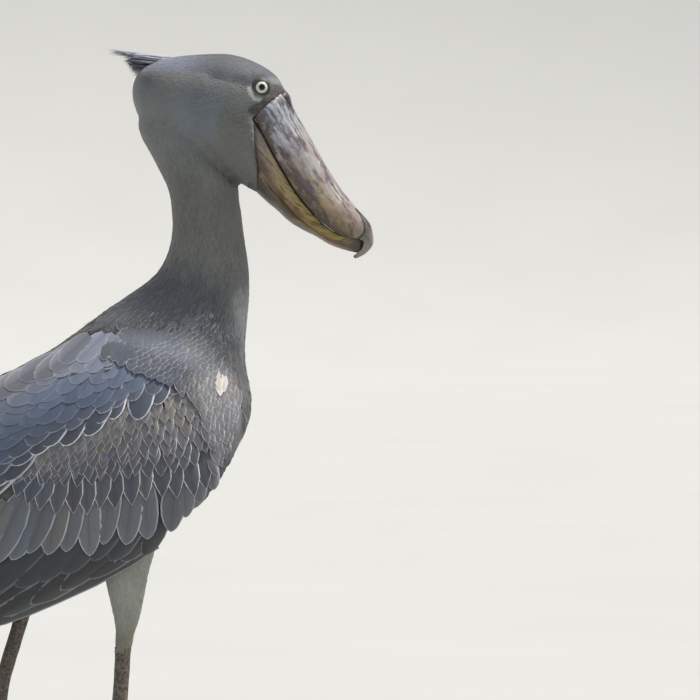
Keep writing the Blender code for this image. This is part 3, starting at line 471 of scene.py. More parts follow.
def cutSides(name, outline, half):    # an upright block with that outline in side view
    flat = sidePoint(*np.array(outline, float).T)
    points = [p for s in (-1, 1) for p in (flat + sideways * half * s).tolist()]
    count = len(outline)
    faces = [tuple(range(count)), tuple(range(count, 2 * count))]
    faces += [(k, (k + 1) % count, count + (k + 1) % count, count + k) for k in range(count)]
    mesh = bpy.data.meshes.new(name)
    mesh.from_pydata(points, [], faces)
    shape = bmesh.new()
    shape.from_mesh(mesh)
    bmesh.ops.recalc_face_normals(shape, faces=shape.faces)
    shape.to_mesh(mesh)
    shape.free()
    return stand(name, mesh)


def pastPoint(start, end, more):    # the point that far beyond the end of a line, in millimetres
    (ax, az), (bx, bz) = start, end
    size = math.hypot(bx - ax, bz - az)
    return bx + (bx - ax) / size * more, bz + (bz - az) / size * more


def makeSkin():
    turn = fullTurn(96)
    headPlaces = np.linspace(0, 8, 66)[:, None]
    head = loftMesh("skin", ringSurface(body["head"], headPlaces, turn, -skin["headInset"]))
    notch = cutSides("notch",
                     [body["gape"], pastPoint(body["gape"], body["forehead"], 40), (300, 1110), (300, 900),
                      pastPoint(body["gape"], body["chin"], 40)], 0.09)
    step = head.modifiers.new("notch", "BOOLEAN")
    step.operation, step.object, step.solver = "DIFFERENCE", notch, "EXACT"
    applied(head)
    bpy.data.objects.remove(notch)
    bodyPlaces = np.linspace(0, 25, 130)[:, None]
    inset = np.interp(bodyPlaces, skin["insetPlaces"], skin["insets"])
    parts = [loftMesh("trunk", ringSurface(bodyRows, bodyPlaces, turn, -inset))]
    for name, side in (("right", -1), ("left", 1)):
        rows = legs[name]["thigh"]
        places = np.linspace(0, 6.7, 50)[:, None]
        shrink = -skin["thighInset"] * ease(7, 5.5, places)
        parts.append(loftMesh("thigh", legSurface(rows, places, turn[:, ::2], side, shrink)))
        rings = []
        for place in np.linspace(0, len(wing["core"]) - 1, 70):
            along, low, high = rowAt(wing["core"], place) * 0.001
            levels = np.linspace(low, high, 28)
            share = np.clip((levels + 0.095) / 0.095, 0, 1) * np.clip((0.48 - along) / 0.15, 0, 1)
            depth = wing["sheet"] + (wing["root"] - wing["sheet"]) * share
            along = np.full(28, along)
            out = shieldOut(along, levels)
            rings.append(np.concatenate([bodyPoint(along, levels, side * (out - wing["inset"])),
                                         bodyPoint(along, levels, side * (out - depth))[::-1]]))
        parts.append(loftMesh("arm", np.array(rings)))
    joined = bmesh.new()
    for item in [head, *parts]:
        joined.from_mesh(item.data)
    joined.to_mesh(head.data)
    joined.free()
    for item in parts:
        bpy.data.objects.remove(item)
    remesh = head.modifiers.new("voxels", "REMESH")
    remesh.mode, remesh.voxel_size = "VOXEL", skin["voxel"]
    soften = head.modifiers.new("soften", "SMOOTH")
    soften.factor, soften.iterations = 0.5, 5
    applied(head)
    points, normals = meshArrays(head)
    x, z = localView(points)
    facing = np.clip(np.abs(normals[:, 1]) * 1.6, 0, 1)
    behind = np.clip(-normals[:, 0] * 1.5, 0, 1)
    push = np.zeros(len(points))
    for forms, share in ((skin["forms"], facing), (skin["backForms"], behind)):
        for cx, cz, radius, height in forms:
            push += height * np.exp(-((x - cx) ** 2 + (z - cz) ** 2) / radius**2) * share
    points += normals * (push * 0.001)[:, None]
    head.data.vertices.foreach_set("co", points.ravel())
    head.data.update()
    return head


# Millimetres along the body's axis and above it, and how often the corner at the wing's edge is filled.
flank = {"step": 3.0, "along": (-100, 260), "above": (-150, 165), "fill": 5}


# Outermost surface of body and folded wing as distances from the middle, softened, over the shoulder.
def flankField(trees, side, cover=None):
    along, above = (np.arange(*flank[key], flank["step"]) for key in ("along", "above"))
    out = np.zeros((len(along), len(above)))
    ahead = Vector((0, -side, 0))
    for i, a in enumerate(along):
        for j, b in enumerate(above):
            start = Vector(bodyPoint(a * 0.001, b * 0.001, side * 0.3))
            hits = [tree.ray_cast(start, ahead)[0] for tree in trees]
            out[i, j] = max((hit.y * side for hit in hits if hit is not None), default=0.0)
    if cover is not None:
        out = np.maximum(out, cover(*np.meshgrid(along * 0.001, above * 0.001, indexing="ij")))
    for step in [3] * flank["fill"] + [1, 1]:    # fills the corner at the wing's edge, then softens
        wide, span = np.pad(out, step, mode="edge"), range(2 * step + 1)
        soft = sum(wide[i:i + out.shape[0], j:j + out.shape[1]] for i in span for j in span) / len(span) ** 2
        out = np.maximum(out, soft) if step > 1 else soft

    def outAt(a, b):
        x = np.clip((a * 1000 - along[0]) / flank["step"], 0, len(along) - 1.001)
        y = np.clip((b * 1000 - above[0]) / flank["step"], 0, len(above) - 1.001)
        i, j = x.astype(int), y.astype(int)
        x, y = x - i, y - j
        low = out[i, j] * (1 - x) + out[i + 1, j] * x
        high = out[i, j + 1] * (1 - x) + out[i + 1, j + 1] * x
        return low * (1 - y) + high * y
    return outAt


def fillLedges(item):    # down fills the corner between the back and the wing's upper edge
    points, _ = meshArrays(item)
    tree = treeOf(item)
    rel = points - bodyStart
    a, b = rel @ bodyAlong, rel @ bodyAbove
    here = ease(-0.062, -0.045, a) * ease(0.126, 0.108, a) * ease(0.132, 0.112, b) * ease(0.0, 0.02, b)
    level, up, _, _ = shieldRow(a)
    overTop = ease(0.84, 0.98, (b - level) / up) * ease(-0.05, -0.01, a) * ease(0.25, 0.2, a)
    overTop = overTop * ease(0.160, 0.135, b)
    for side in (-1, 1):
        out = points[:, 1] * side
        ledge = np.clip(flankField([tree], side)(a, b) - out, 0, 0.016) * here
        overWing = flankField([tree], side, lambda a, b: shieldOut(a, b) + 0.003)
        gap = np.clip(overWing(a, b) - out, 0, 0.022) * overTop
        points[:, 1] += side * np.maximum(ledge, gap) * (out > 0.02)
    item.data.vertices.foreach_set("co", points.ravel())
    item.data.update()


# Colours of the coat, and lines where they change as points of the side view in millimetres. The pale front
# colour along the front edge of neck and breast is a painted highlight of sunlight.
plumage = {
    "face": "#686c6b", "ear": "#676f79", "gape": "#636059", "neck": "#61635f", "collar": "#383c44",
    "breast": "#606266", "back": "#6f7073", "front": "#b6b6b4", "thigh": "#8d9087", "hem": "#77735f",
    "crown": "#666c7d", "shade": "#42454d", "lores": "#413d3c", "pale": "#b3b5b1",
    "crownEdge": [(20, 1088), (50, 1087), (108, 1083.5), (119, 1076), (140, 1072.5), (152, 1070), (163, 1067),
                  (178, 1077), (195, 1077), (215, 1066)],
    "loresLine": [(166, 1036), (178, 1042), (190, 1049.5), (203, 1059)],
    "sunlitFrontLine": [(162, 800), (166, 755), (171, 715), (173, 690)],
    "paleLine": [(162.5, 1063), (164, 1056.5), (168, 1051.5), (179, 1048)],
}


def nearLine(x, z, line):    # distance to the line, in millimetres
    best = np.full(x.shape, 1e9)
    for (ax, az), (bx, bz) in zip(line[:-1], line[1:]):
        dx, dz = bx - ax, bz - az
        t = np.clip(((x - ax) * dx + (z - az) * dz) / (dx * dx + dz * dz), 0, 1)
        best = np.minimum(best, np.hypot(x - ax - t * dx, z - az - t * dz))
    return best


def plumageColour(points):    # the same markings, painted shade and painted highlight for the skin and for every feather that grows on it
    x, z = localView(points)
    y = np.abs(points[:, 1]) * 1000
    wobble = noiseAt(points, 9) * 3 + noiseAt(points, 30, 5) * 3

    def wash(base, tint, share):
        return base + (rgb(plumage[tint]) - base) * np.clip(share, 0, 1)[:, None]

    colour = np.tile(rgb(plumage["breast"]), (len(points), 1))
    colour = wash(colour, "neck", ease(770, 850, z + wobble * 3))
    colour = wash(colour, "collar", 0.9 * ease(84, 40, np.hypot((x - 66) / 1.2, z - 778) + wobble * 4))
    # painted highlight: the sunlit front edge of neck and breast, washed in pale
    front = (0.85 + 0.3 * noiseAt(points, 40, 7)) * ease(30, 6, nearLine(x, z, plumage["sunlitFrontLine"]) + wobble)
    colour = wash(colour, "front", front * ease(860, 740, z) * ease(640, 700, z))
    colour = wash(colour, "face", ease(945, 1010, z - 0.25 * (x - 100) + wobble * 3))
    colour = wash(colour, "back", ease(0, 1, (z - (687.5 + 0.532 * (x - 100)) - 70) / 40) * ease(60, -20, x))
    colour = wash(colour, "thigh", ease(575, 535, z + wobble) * ease(-185, -150, x))
    colour = wash(colour, "hem", 0.8 * ease(425, 365, z + wobble))
    ear = ease(1.3, 0.5, np.hypot((x - 100) / 36, (z - 1034) / 30)) * ease(-14, 6, wobble + 4)
    colour = wash(colour, "ear", 0.8 * ear)
    colour = wash(colour, "gape", 0.6 * ease(1.3, 0.5, np.hypot((x - 142) / 20, (z - 1010) / 38)))
    edge = np.array(plumage["crownEdge"], float)
    level = np.interp(x, edge[:, 0], edge[:, 1])
    colour = wash(colour, "crown", ease(-2.5, 2.5, z - level + wobble * 0.4) * ease(10, 30, x) * (z > 1040))
    colour = wash(colour, "shade", ease(60, 130, x) * ease(-2, 2, z - level) * (z > 1040))
    brow = np.exp(-((z - level + 1.2) / 1.3) ** 2) * ease(85, 110, x) * ease(172, 162, x)
    colour = wash(colour, "shade", 0.6 * brow)
    colour = wash(colour, "shade", 0.7 * np.exp(-((x - 36) ** 2 + (z - 1076) ** 2) / 130))
    colour = wash(colour, "pale", 0.55 * ease(3.4, 2.2, nearLine(x, z, plumage["paleLine"]) + wobble * 0.1))
    colour = wash(colour, "lores", ease(6, 4.2, nearLine(x, z, plumage["loresLine"]) + wobble * 0.2))
    colour = wash(colour, "lores", ease(1.15, 0.85, np.hypot((x - 195) / 10, (z - 1060) / 9)) * (y > 12))
    mottle = 1 + 0.12 * noiseAt(points, 26, 11) + 0.09 * noiseAt(points, 70, 3)
    mottle = mottle + 0.05 * noiseAt(points, 7, 13)
    return np.clip(colour * mottle[:, None], 0, 1)


# Down and thin skin under the feathers: quite matt, no shine, so gaps between feathers stay soft.
def downySkin():
    material, tree, shader = startMaterial("downySkin", Roughness=0.95)
    tint = addNode(tree, "ShaderNodeAttribute", attribute_name="tint")
    where = addNode(tree, "ShaderNodeTexCoord").outputs["Object"]
    fluff = addNode(tree, "ShaderNodeTexNoise", {"Vector": where, "Scale": 420.0, "Detail": 3.0})
    shade = addNode(tree, "ShaderNodeMapRange",
                    {"Value": fluff.outputs["Fac"], "To Min": 0.75, "To Max": 1.0})
    dark = addNode(tree, "ShaderNodeVectorMath", {0: tint.outputs["Color"], "Scale": shade.outputs["Result"]},
                   operation="SCALE")
    bump = addNode(tree, "ShaderNodeBump",
                   {"Height": fluff.outputs["Fac"], "Strength": 0.6, "Distance": 0.001})
    tree.links.new(dark.outputs["Vector"], shader.inputs["Base Color"])
    tree.links.new(bump.outputs["Normal"], shader.inputs["Normal"])
    return material


# Contour feathers and flight feathers are keratin barbs lying side by side: matt with a faint silky sheen,
# a raised shaft, and a paler edge where the barbs are worn. Barbs are 0.3 mm apart, drawn at 1.1 mm to show.
def barbKeratin(name, rimHex, shaftHex, rimFrom, barb=0.0011, roughness=0.66, sheen=0.12, streak=0.12,
                shaft=0.45):
    material, tree, shader = startMaterial(name, Roughness=roughness,
                                           **{"Sheen Weight": sheen, "Sheen Roughness": 0.5})
    tint = addNode(tree, "ShaderNodeAttribute", attribute_name="tint")
    edge = addNode(tree, "ShaderNodeAttribute", attribute_name="edge").outputs["Fac"]
    vane = addNode(tree, "ShaderNodeUVMap", uv_map="vane").outputs["UV"]
    parts = addNode(tree, "ShaderNodeSeparateXYZ", {"Vector": vane})
    out = addNode(tree, "ShaderNodeMath", {0: parts.outputs["X"]}, operation="ABSOLUTE")
    slant = addNode(tree, "ShaderNodeMath", {0: out.outputs[0], 1: 1.1, 2: parts.outputs["Y"]},
                    operation="MULTIPLY_ADD")
    wave = addNode(tree, "ShaderNodeMath", {0: slant.outputs[0], 1: -2 * math.pi / barb},
                   operation="MULTIPLY")
    long = addNode(tree, "ShaderNodeMapping", {"Vector": vane, "Scale": (520.0, 60.0, 1.0)}).outputs[0]
    cloud = addNode(tree, "ShaderNodeTexNoise", {"Vector": long, "Scale": 1.0, "Detail": 3.0}).outputs["Fac"]
    shifted = addNode(tree, "ShaderNodeMath", {0: cloud, 1: 5.0, 2: wave.outputs[0]},
                      operation="MULTIPLY_ADD")
    line = addNode(tree, "ShaderNodeMath", {0: shifted.outputs[0]}, operation="SINE").outputs[0]
    tone = addNode(tree, "ShaderNodeMapRange", {"Value": cloud, "From Min": 0.3, "From Max": 0.7,
                                                "To Min": 0.94 - streak, "To Max": 0.94 + streak})
    lined = addNode(tree, "ShaderNodeMath", {0: line, 1: 0.05, 2: tone.outputs["Result"]},
                    operation="MULTIPLY_ADD")
    bulk = addNode(tree, "ShaderNodeMapRange",
                   {"Value": edge, "From Min": 0.1, "From Max": 0.9, "To Min": 0.84, "To Max": 1.12})
    shade = addNode(tree, "ShaderNodeMath", {0: lined.outputs[0], 1: bulk.outputs[0]}, operation="MULTIPLY")
    base = addNode(tree, "ShaderNodeVectorMath", {0: tint.outputs["Color"], "Scale": shade.outputs[0]},
                   operation="SCALE")
    quill = addNode(tree, "ShaderNodeMapRange", {"Value": edge, "From Min": 0.02, "From Max": 0.07,
                                                 "To Min": shaft, "To Max": 0.0})
    withShaft = addNode(tree, "ShaderNodeMix", {0: quill.outputs["Result"], 6: base.outputs["Vector"],
                                                7: shaftHex}, data_type="RGBA")
    rim = addNode(tree, "ShaderNodeMapRange",
                  {"Value": edge, "From Min": rimFrom, "From Max": min(rimFrom + 0.09, 1.0)})
    worn = addNode(tree, "ShaderNodeMath", {0: rim.outputs["Result"], 1: tint.outputs["Alpha"]},
                   operation="MULTIPLY")
    colour = addNode(tree, "ShaderNodeMix", {0: worn.outputs[0], 6: withShaft.outputs[2], 7: rimHex},
                     data_type="RGBA")
    bump = addNode(tree, "ShaderNodeBump", {"Height": line, "Strength": 0.3, "Distance": 0.0002})
    tree.links.new(colour.outputs[2], shader.inputs["Base Color"])
    tree.links.new(bump.outputs["Normal"], shader.inputs["Normal"])
    return material


def snap(points):    # nearest points of the skin, with its outward directions
    found = [skinTree.find_nearest(p) for p in points.tolist()]
    return np.array([f[0] for f in found]), np.array([f[1] for f in found])


# Roots in staggered rows round a form: their places along it and their angles.
def rootRows(surface, start, end, sizes, seed):
    draw = np.random.default_rng(seed)
    angles = np.linspace(0, 2 * math.pi, 64)
    places, turns, place, row = [], [], start, 0
    while place < end:
        ring, ahead = surface(np.full(64, place), angles), surface(np.full(64, place + 0.05), angles)
        apart = np.interp(place, sizes["places"], sizes["apart"]) * 0.001
        count = max(int(np.linalg.norm(np.diff(ring, axis=0), axis=1).sum() / apart), 3)
        spots = (np.arange(count) + 0.5 * (row % 2) + draw.uniform(-0.28, 0.28, count)) / count
        speed = np.percentile(np.linalg.norm(ahead - ring, axis=1), 70) / 0.05
        step = 0.8 * apart / max(speed, 1e-4)
        places.append(place + draw.uniform(-0.3, 0.3, count) * step)
        turns.append(spots * 2 * math.pi)
        place, row = place + step, row + 1
    return np.concatenate(places), np.concatenate(turns)


# A coat with its roots in rows on a form, as far as the skin is near it: reach is in metres.
def growCoat(name, surface, start, end, sizes, form, seed, runAt=None, keep=None, reach=0.008, tone=None):
    places, turns = rootRows(surface, start, end, sizes, seed)
    draw = np.random.default_rng(seed + 1)
    wanted = surface(places, turns)
    run = unit(surface(places + 0.08, turns) - wanted)
    roots, normals = snap(wanted)
    stay = np.linalg.norm(roots - wanted, axis=1) < reach
    if keep is not None:
        stay &= keep(roots)
    roots, normals, run, places, turns = (v[stay] for v in (roots, normals, run, places, turns))
    if runAt is not None:
        run = runAt(roots, run)
    measures = [np.interp(places, sizes["places"], sizes[key]) for key in ("length", "width", "lift", "rim")]
    if tone is not None:
        measures[:3] = tone(roots, *measures[:3])
    low, high = sizes["places"][0], sizes["places"][-1]
    corner = np.stack([turns / (2 * math.pi) % 1, (places - low) / (high - low)], -1)
    return layCoat(name, roots, normals, run, measures, form, corner, draw, sizes)


rooted = []    # roots of each coat so far


# Thin feathers that lie along the skin from their roots, each with a ridge, tips lifted over the next ones.
def layCoat(name, roots, normals, run, measures, form, corner, draw, sizes):
    length, width, lift, rim = measures
    count, rows = len(roots), len(form["share"])
    length = length * 0.001 * draw.uniform(0.82, 1.15, count)
    width = width * 0.001 * draw.uniform(0.88, 1.12, count)
    lift = lift * 0.001 * draw.uniform(0.55, 1.45, count)
    run = unit(run - normals * np.einsum("ij,ij->i", run, normals)[:, None])
    run = unit(run + np.cross(run, normals) * draw.normal(0, sizes["stray"], count)[:, None])
    middle, middleUp = snap(roots + run * (length / 2)[:, None])
    tip, tipUp = snap(roots + run * length[:, None])
    far = np.linalg.norm(tip - roots - run * length[:, None], axis=1) > coat["edge"]
    middle[far] = roots[far] + run[far] * length[far, None] / 2
    tip[far] = roots[far] + run[far] * length[far, None]
    middleUp[far], tipUp[far] = normals[far], normals[far]
    seen = roots + run * (length * 0.65)[:, None]
    start = roots - normals * coat["sink"]
    middle = middle + middleUp * (lift * 0.55)[:, None]
    tip = tip + tipUp * lift[:, None]
    rings, lies = [], []
    for share, wide, thick in zip(form["share"], form["wide"], form["thick"]):
        a, b, c = 2 * (share - 0.5) * (share - 1), 4 * share * (1 - share), 2 * share * (share - 0.5)
        centre = start * a + middle * b + tip * c
        up = unit(normals * a + middleUp * b + tipUp * c)
        out = unit(np.cross(run, up)) * (width * wide / 2)[:, None]
        rings.append(np.stack([centre - out, centre + up * (thick * width)[:, None], centre + out], 1))
        side, ahead = unit(out) * sizes["round"], run * sizes["round"] * share
        lies.append(np.stack([up - side + ahead, up + ahead, up + side + ahead], 1))
    rings = np.stack(rings, 1)
    lies = np.concatenate([unit(np.concatenate(lies, 1)), unit(tipUp + run * sizes["round"])[:, None]], 1)
    s = np.append(np.repeat(form["share"], 3), 1.0)
    t = np.append((np.array([[-1.0, 0.0, 1.0]]) * np.array(form["wide"])[:, None]).ravel(), 0.0)
    vane = np.stack([t[None] * width[:, None] / 2,
                     s[None] * length[:, None] + draw.uniform(0, 9, (count, 1))], -1)
    patch = np.clip(corner, 0.002, 0.998)[:, None] + np.stack([t, s - 0.5], -1)[None] * 0.0015
    colour = plumageColour(seen) * draw.uniform(1 - sizes["vary"], 1 + sizes["vary"], count)[:, None]
    tint = np.concatenate([np.clip(colour, 0, 1), (rim * draw.uniform(0.3, 1.0, count))[:, None]], 1)
    edge = np.append(np.tile([1.0, 0.0, 1.0], rows), 1.0)
    item = shellMesh(name, rings, tip, {"OFBake": patch, "vane": vane},
                     {"tint": np.repeat(tint[:, None], rows * 3 + 1, 1), "edge": np.tile(edge, (count, 1))},
                     lies=lies)
    print(f"{name}: {count} feathers")
    rooted.append(roots)
    return item


print("skin")
skinItem = makeSkin()
fillLedges(skinItem)
skinPoints, skinNormals = meshArrays(skinItem)
skinTint = np.concatenate([plumageColour(skinPoints), np.ones((len(skinPoints), 1))], 1)
skinPaint = skinItem.data.attributes.new("tint", "FLOAT_COLOR", "POINT")
skinPaint.data.foreach_set("color", skinTint.ravel().astype(np.float32))
skinTree = treeOf(skinItem)
finishPiece(skinItem, downySkin(), "head", "neck_upper", "neck_lower", "breast", "torso", "rump",
            "thigh_left", "thigh_right", slot="body_feathers")

eye = {
    "x": 178, "z": 1064.75, "radius": 0.011, "opening": 0.008, "turn": math.radians(8), "sink": 0.0007,
    "bare": 0.0104, "swell": 0.0005,    # radius without feathers, and how far the cornea bulges
    # millimetres from the middle: where the pupil ends, where the warm rim fades, where the dark ring begins
    "pupil": (3.6, 3.9), "rim": (3.8, 5.2), "ring": (7.3, 7.9),
    # lids: radius from the eye's middle and height over the head, round a closed section
    "lid": [(7.2, -1.5), (7.35, 1.0), (7.6, 1.8), (8.0, 2.1), (8.5, 2.0), (8.9, 1.5), (9.3, 1.6), (9.8, 1.3),
            (10.3, 0.7), (10.8, 0.4), (11.3, -0.4), (11.9, -1.6), (12.4, -3.2), (11.6, -5.5), (9.0, -5.5)],
}


def eyeAxis(side):
    return np.array([math.sin(eye["turn"]), side * math.cos(eye["turn"]), 0.0])


def eyeCentre(side):
    low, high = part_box("eye_left" if side > 0 else "eye_right")
    return (np.array(low) + np.array(high)) / 2


def behindBill(points):    # true on the head's side of the line where its feathers meet the bill
    x, z = localView(points)
    gape, forehead, chin = (np.array(body[k]) for k in ("gape", "forehead", "chin"))
    up, down = forehead - gape, chin - gape
    above = (up[0] * (z - gape[1]) - up[1] * (x - gape[0])) / np.hypot(*up)
    below = (down[0] * (z - gape[1]) - down[1] * (x - gape[0])) / np.hypot(*down)
    return np.where(z > gape[1], above > 0.3, (below < -0.3) | (z < chin[1]))


def headKeep(roots):
    x, z = localView(roots)
    stay = behindBill(roots) & ~((x > 156) & (z < 951))
    for side in (-1, 1):
        off = roots - eyeCentre(side)
        axis = eyeAxis(side)
        flat = off - (off @ axis)[:, None] * axis
        stay &= ~((np.linalg.norm(flat, axis=1) < eye["bare"]) & (off @ axis > 0))
    return stay


def headRun(roots, run):    # back over the crown, and turning down the cheek into the neck
    x, z = localView(roots)
    down = ease(1075, 975, z + 0.35 * (x - 100)) * 1.25
    way = np.stack([-np.cos(down), np.zeros_like(down), -np.sin(down)], 1)
    blend = 0.35 + 0.65 * ease(1070, 1010, z)
    return unit(run * (1 - blend)[:, None] + way * blend[:, None])


def headTone(roots, length, width, lift):
    x, z = localView(roots)
    edge = np.array(plumage["crownEdge"], float)
    crown = ease(-2, 3, z - np.interp(x, edge[:, 0], edge[:, 1])) * ease(200, 150, x)
    nearEye = ease(24, 11, np.hypot(x - eye["x"], z - eye["z"]))
    lores = ease(10, 4, nearLine(x, z, plumage["loresLine"]))
    small = 1 - 0.5 * np.maximum(nearEye, lores)
    return length * (1 + 0.5 * crown) * small, width * small, lift * (1 - 0.25 * crown) * small


shoulder = {
    "apart": (6.2, 5.6), "slope": 1.7, "vary": 0.16, "cape": "#39414f",
    # a painted highlight: a spot of pale feathers where sunlight catches the shoulder
    "pale": "#b4b3b1", "sunSpotAt": (-23, -11), "sunSpotWide": 4.4,
    # at heights above the body's axis: heading, length, width, how pointed, how far back the feathers reach
    "levels": [(-125, -80, 21, 9, 0.8, 40), (-90, -78, 23, 10, 0.8, 24), (-45, -72, 24, 10.5, 0.8, 10),
               (0, -66, 24, 11, 0.7, 14), (30, -62, 25, 14, 0.2, 34), (60, -54, 27, 16, 0.1, 58),
               (100, -38, 28, 16, 0.1, 88)],
    # the lower edge seen from the side
    "under": [(-70, -30), (-43, -58), (-11, -80), (24, -106), (60, -124)],
    "hex": [(-60, "#5e5f64"), (0, "#68686c"), (20, "#44484f"), (60, "#3b3f47"), (100, "#3f434b")],
}


# Coats by places on their form, in millimetres: spacing, length, width, lift of the tips, pale rim.
# Then how far the feathers stray and vary, and how round they are shaded.
coat = {
    "sink": 0.0006,    # metres that the roots lie under the skin
    "edge": 0.006,    # a feather that far off the skin has passed an edge, and goes straight on
    "fine": {"share": [0.0, 0.6], "wide": [0.75, 1.0], "thick": [0.025, 0.02]},
    "broad": {"share": [0.0, 0.45, 0.84], "wide": [0.7, 1.0, 0.66], "thick": [0.04, 0.045, 0.04]},
    "head": {"places": [0, 1, 4, 8], "apart": [2.1, 2.2, 2.3, 2.4], "length": [6, 9, 11, 12],
             "width": [2.7, 2.9, 3.0, 3.1], "lift": [0.4, 0.45, 0.5, 0.6], "rim": [0, 0, 0, 0], "stray": 0.08,
             "vary": 0.055, "round": 0.17},
    "neck": {"places": [0, 3, 6, 9], "apart": [2.9, 3.2, 3.6, 4.5], "length": [12, 14, 18, 24],
             "width": [3.2, 3.7, 5.0, 7.8], "lift": [0.35, 0.5, 0.85, 1.5], "rim": [0.0, 0.03, 0.12, 0.5],
             "stray": 0.14, "vary": 0.13, "round": 0.32},
    "breast": {"places": [8.9, 12, 14], "apart": [5.0, 5.8, 7.0], "length": [22, 26, 32],
               "width": [8.6, 9.8, 11.5], "lift": [1.7, 1.9, 2.2], "rim": [0.6, 0.7, 0.6], "stray": 0.16,
               "vary": 0.14, "round": 0.3},
    "bend": {"apart": 4.6, "length": 22, "width": 9.2, "lift": 1.6, "rim": 0.7, "stray": 0.18, "vary": 0.14,
             "round": 0.3, "clear": 0.0052,
             "under": [(-95, -20), (-58, -22), (-43, -40), (-11, -62), (24, -88), (60, -106), (80, -112)]},
    "trunk": {"places": [13.9, 19, 25], "apart": [7.4, 8.2, 8.6], "length": [34, 42, 44],
              "width": [11.5, 13.5, 14], "lift": [1.9, 2.1, 2.2], "rim": [0.4, 0.35, 0.3], "stray": 0.12,
              "vary": 0.09, "round": 0.3},
    "thigh": {"places": [0, 3, 5.8, 6.7], "apart": [3.8, 3.2, 2.5, 1.7], "length": [20, 16, 11, 9],
              "width": [5.0, 4.2, 2.8, 1.5], "lift": [1.1, 0.9, 0.5, 0.3], "rim": [0.08, 0.08, 0.04, 0],
              "stray": 0.12, "vary": 0.08, "round": 0.24},
}


def uncovered(roots):    # false where wing or shoulder feathers lie over the body
    rel = roots - bodyStart
    a, b, out = rel @ bodyAlong, rel @ bodyAbove, np.abs(roots[:, 1])
    under, levels = np.array(shoulder["under"], float) * 0.001, np.array(shoulder["levels"], float) * 0.001
    covered = (a > -0.045) & (b < 0.082) & (out > 0.05)
    covered &= a < np.interp(b, levels[:, 0], levels[:, 5]) - 0.014
    covered &= b > np.interp(a, under[:, 0], under[:, 1]) + 0.012
    return behindBill(roots) & ~covered & ((shieldOut(a, b) < out + 0.001) | (a < 0.1) | (out < 0.05))


# Breast feathers where the body's rings don't reach, at the front bend of the wings.
def fillBend(material):
    sizes = coat["bend"]
    tree = KDTree(sum(map(len, rooted)))
    for k, spot in enumerate(np.concatenate(rooted).tolist()):
        tree.insert(spot, k)
    tree.balance()
    rel = skinPoints - bodyStart
    a, b = rel @ bodyAlong * 1000, rel @ bodyAbove * 1000
    under = np.array(sizes["under"], float)
    stay = (a > -95) & (a < -40) & (b < 40) & (b < 25 - 0.2 * a)
    stay &= b > np.interp(a, under[:, 0], under[:, 1])
    spots, normals, a, b = skinPoints[stay], skinNormals[stay], a[stay], b[stay]
    draw = np.random.default_rng(51)
    order = draw.permutation(len(spots))
    cells = np.floor(spots[order] / (sizes["apart"] * 0.001)).astype(int)
    order = order[np.unique(cells, axis=0, return_index=True)[1]]
    order = order[[tree.find(p)[2] > sizes["clear"] for p in spots[order].tolist()]]
    spots, normals, a, b = spots[order], normals[order], a[order], b[order]
    heading = np.radians(np.interp(b, [-110, -60, 20], [-60, -70, -66]) + draw.normal(0, 4, len(a)))
    run = bodyAlong * np.cos(heading)[:, None] + bodyAbove * np.sin(heading)[:, None]
    measures = [np.full(len(a), sizes[key]) for key in ("length", "width", "lift", "rim")]
    corner = np.stack([(a + 100) / 190, (b + 155) / 200], -1)
    item = layCoat("plumageBend", spots, normals, run, measures, coat["broad"], corner, draw, sizes)
    finishPiece(item, material, slot="body_feathers", smooth=False)


def growPlumage():
    soft = barbKeratin("velvetBarbs", "#9da0a3", "#5c5f64", 0.86, barb=0.0009, sheen=0.2, streak=0.06,
                       shaft=0.1)
    scaly = barbKeratin("contourBarbs", "#babbbe", "#3c3d42", 0.80, shaft=0.3)

    def headSurface(place, turn):
        return ringSurface(body["head"], place, turn)

    def bodySurface(place, turn):
        return ringSurface(bodyRows, place, turn)

    def thighSurface(place, turn):
        return legSurface(legs[name]["thigh"], place, turn, side)

    head = growCoat("plumageHead", headSurface, 0.05, 7.8, coat["head"], coat["fine"], 3, headRun, headKeep,
                    tone=headTone)
    finishPiece(head, soft, slot="body_feathers", smooth=False)
    parts = (("Neck", 0.05, 8.9, 5, 0.02, soft), ("Breast", 8.9, 13.9, 7, 0.026, scaly),
             ("Trunk", 13.9, 24.9, 9, 0.026, scaly))
    for name, start, end, seed, reach, material in parts:
        item = growCoat(f"plumage{name}", bodySurface, start, end, coat[name.lower()], coat["broad"], seed,
                        keep=uncovered, reach=reach)
        finishPiece(item, material, slot="body_feathers", smooth=False)
    fillBend(scaly)
    for name, side in (("right", -1), ("left", 1)):
        thigh = growCoat(f"plumageThigh_{name}", thighSurface, 0.2, 6.8, coat["thigh"], coat["broad"],
                         21 + side, reach=0.012)
        finishPiece(thigh, soft, slot="body_feathers", smooth=False)
    return scaly


print("plumage")
contourBarbs = growPlumage()


# Modelled vanes: how wide blunt and pointed ones are from root to tip, and their section, face first.
vane = {
    "large": {"share": [0, 0.16, 0.36, 0.56, 0.72, 0.84, 0.92, 0.97],
              "wide": [0.45, 0.8, 0.98, 1.0, 0.96, 0.82, 0.60, 0.36],
              "narrow": [0.45, 0.85, 1.0, 0.96, 0.78, 0.54, 0.31, 0.14],
              "round": [-1, -0.55, -0.07, 0, 0.07, 0.55, 1, 0.9, 0, -0.9], "top": 7},
    "small": {"share": [0, 0.3, 0.56, 0.78, 0.92], "wide": [0.6, 0.95, 1.0, 0.82, 0.48],
              "narrow": [0.6, 1.0, 0.96, 0.58, 0.24], "round": [-1, -0.06, 0, 0.06, 1, 0], "top": 5},
    "thick": 0.7, "lean": 0.55, "crown": 0.3, "rise": 3.0,
}
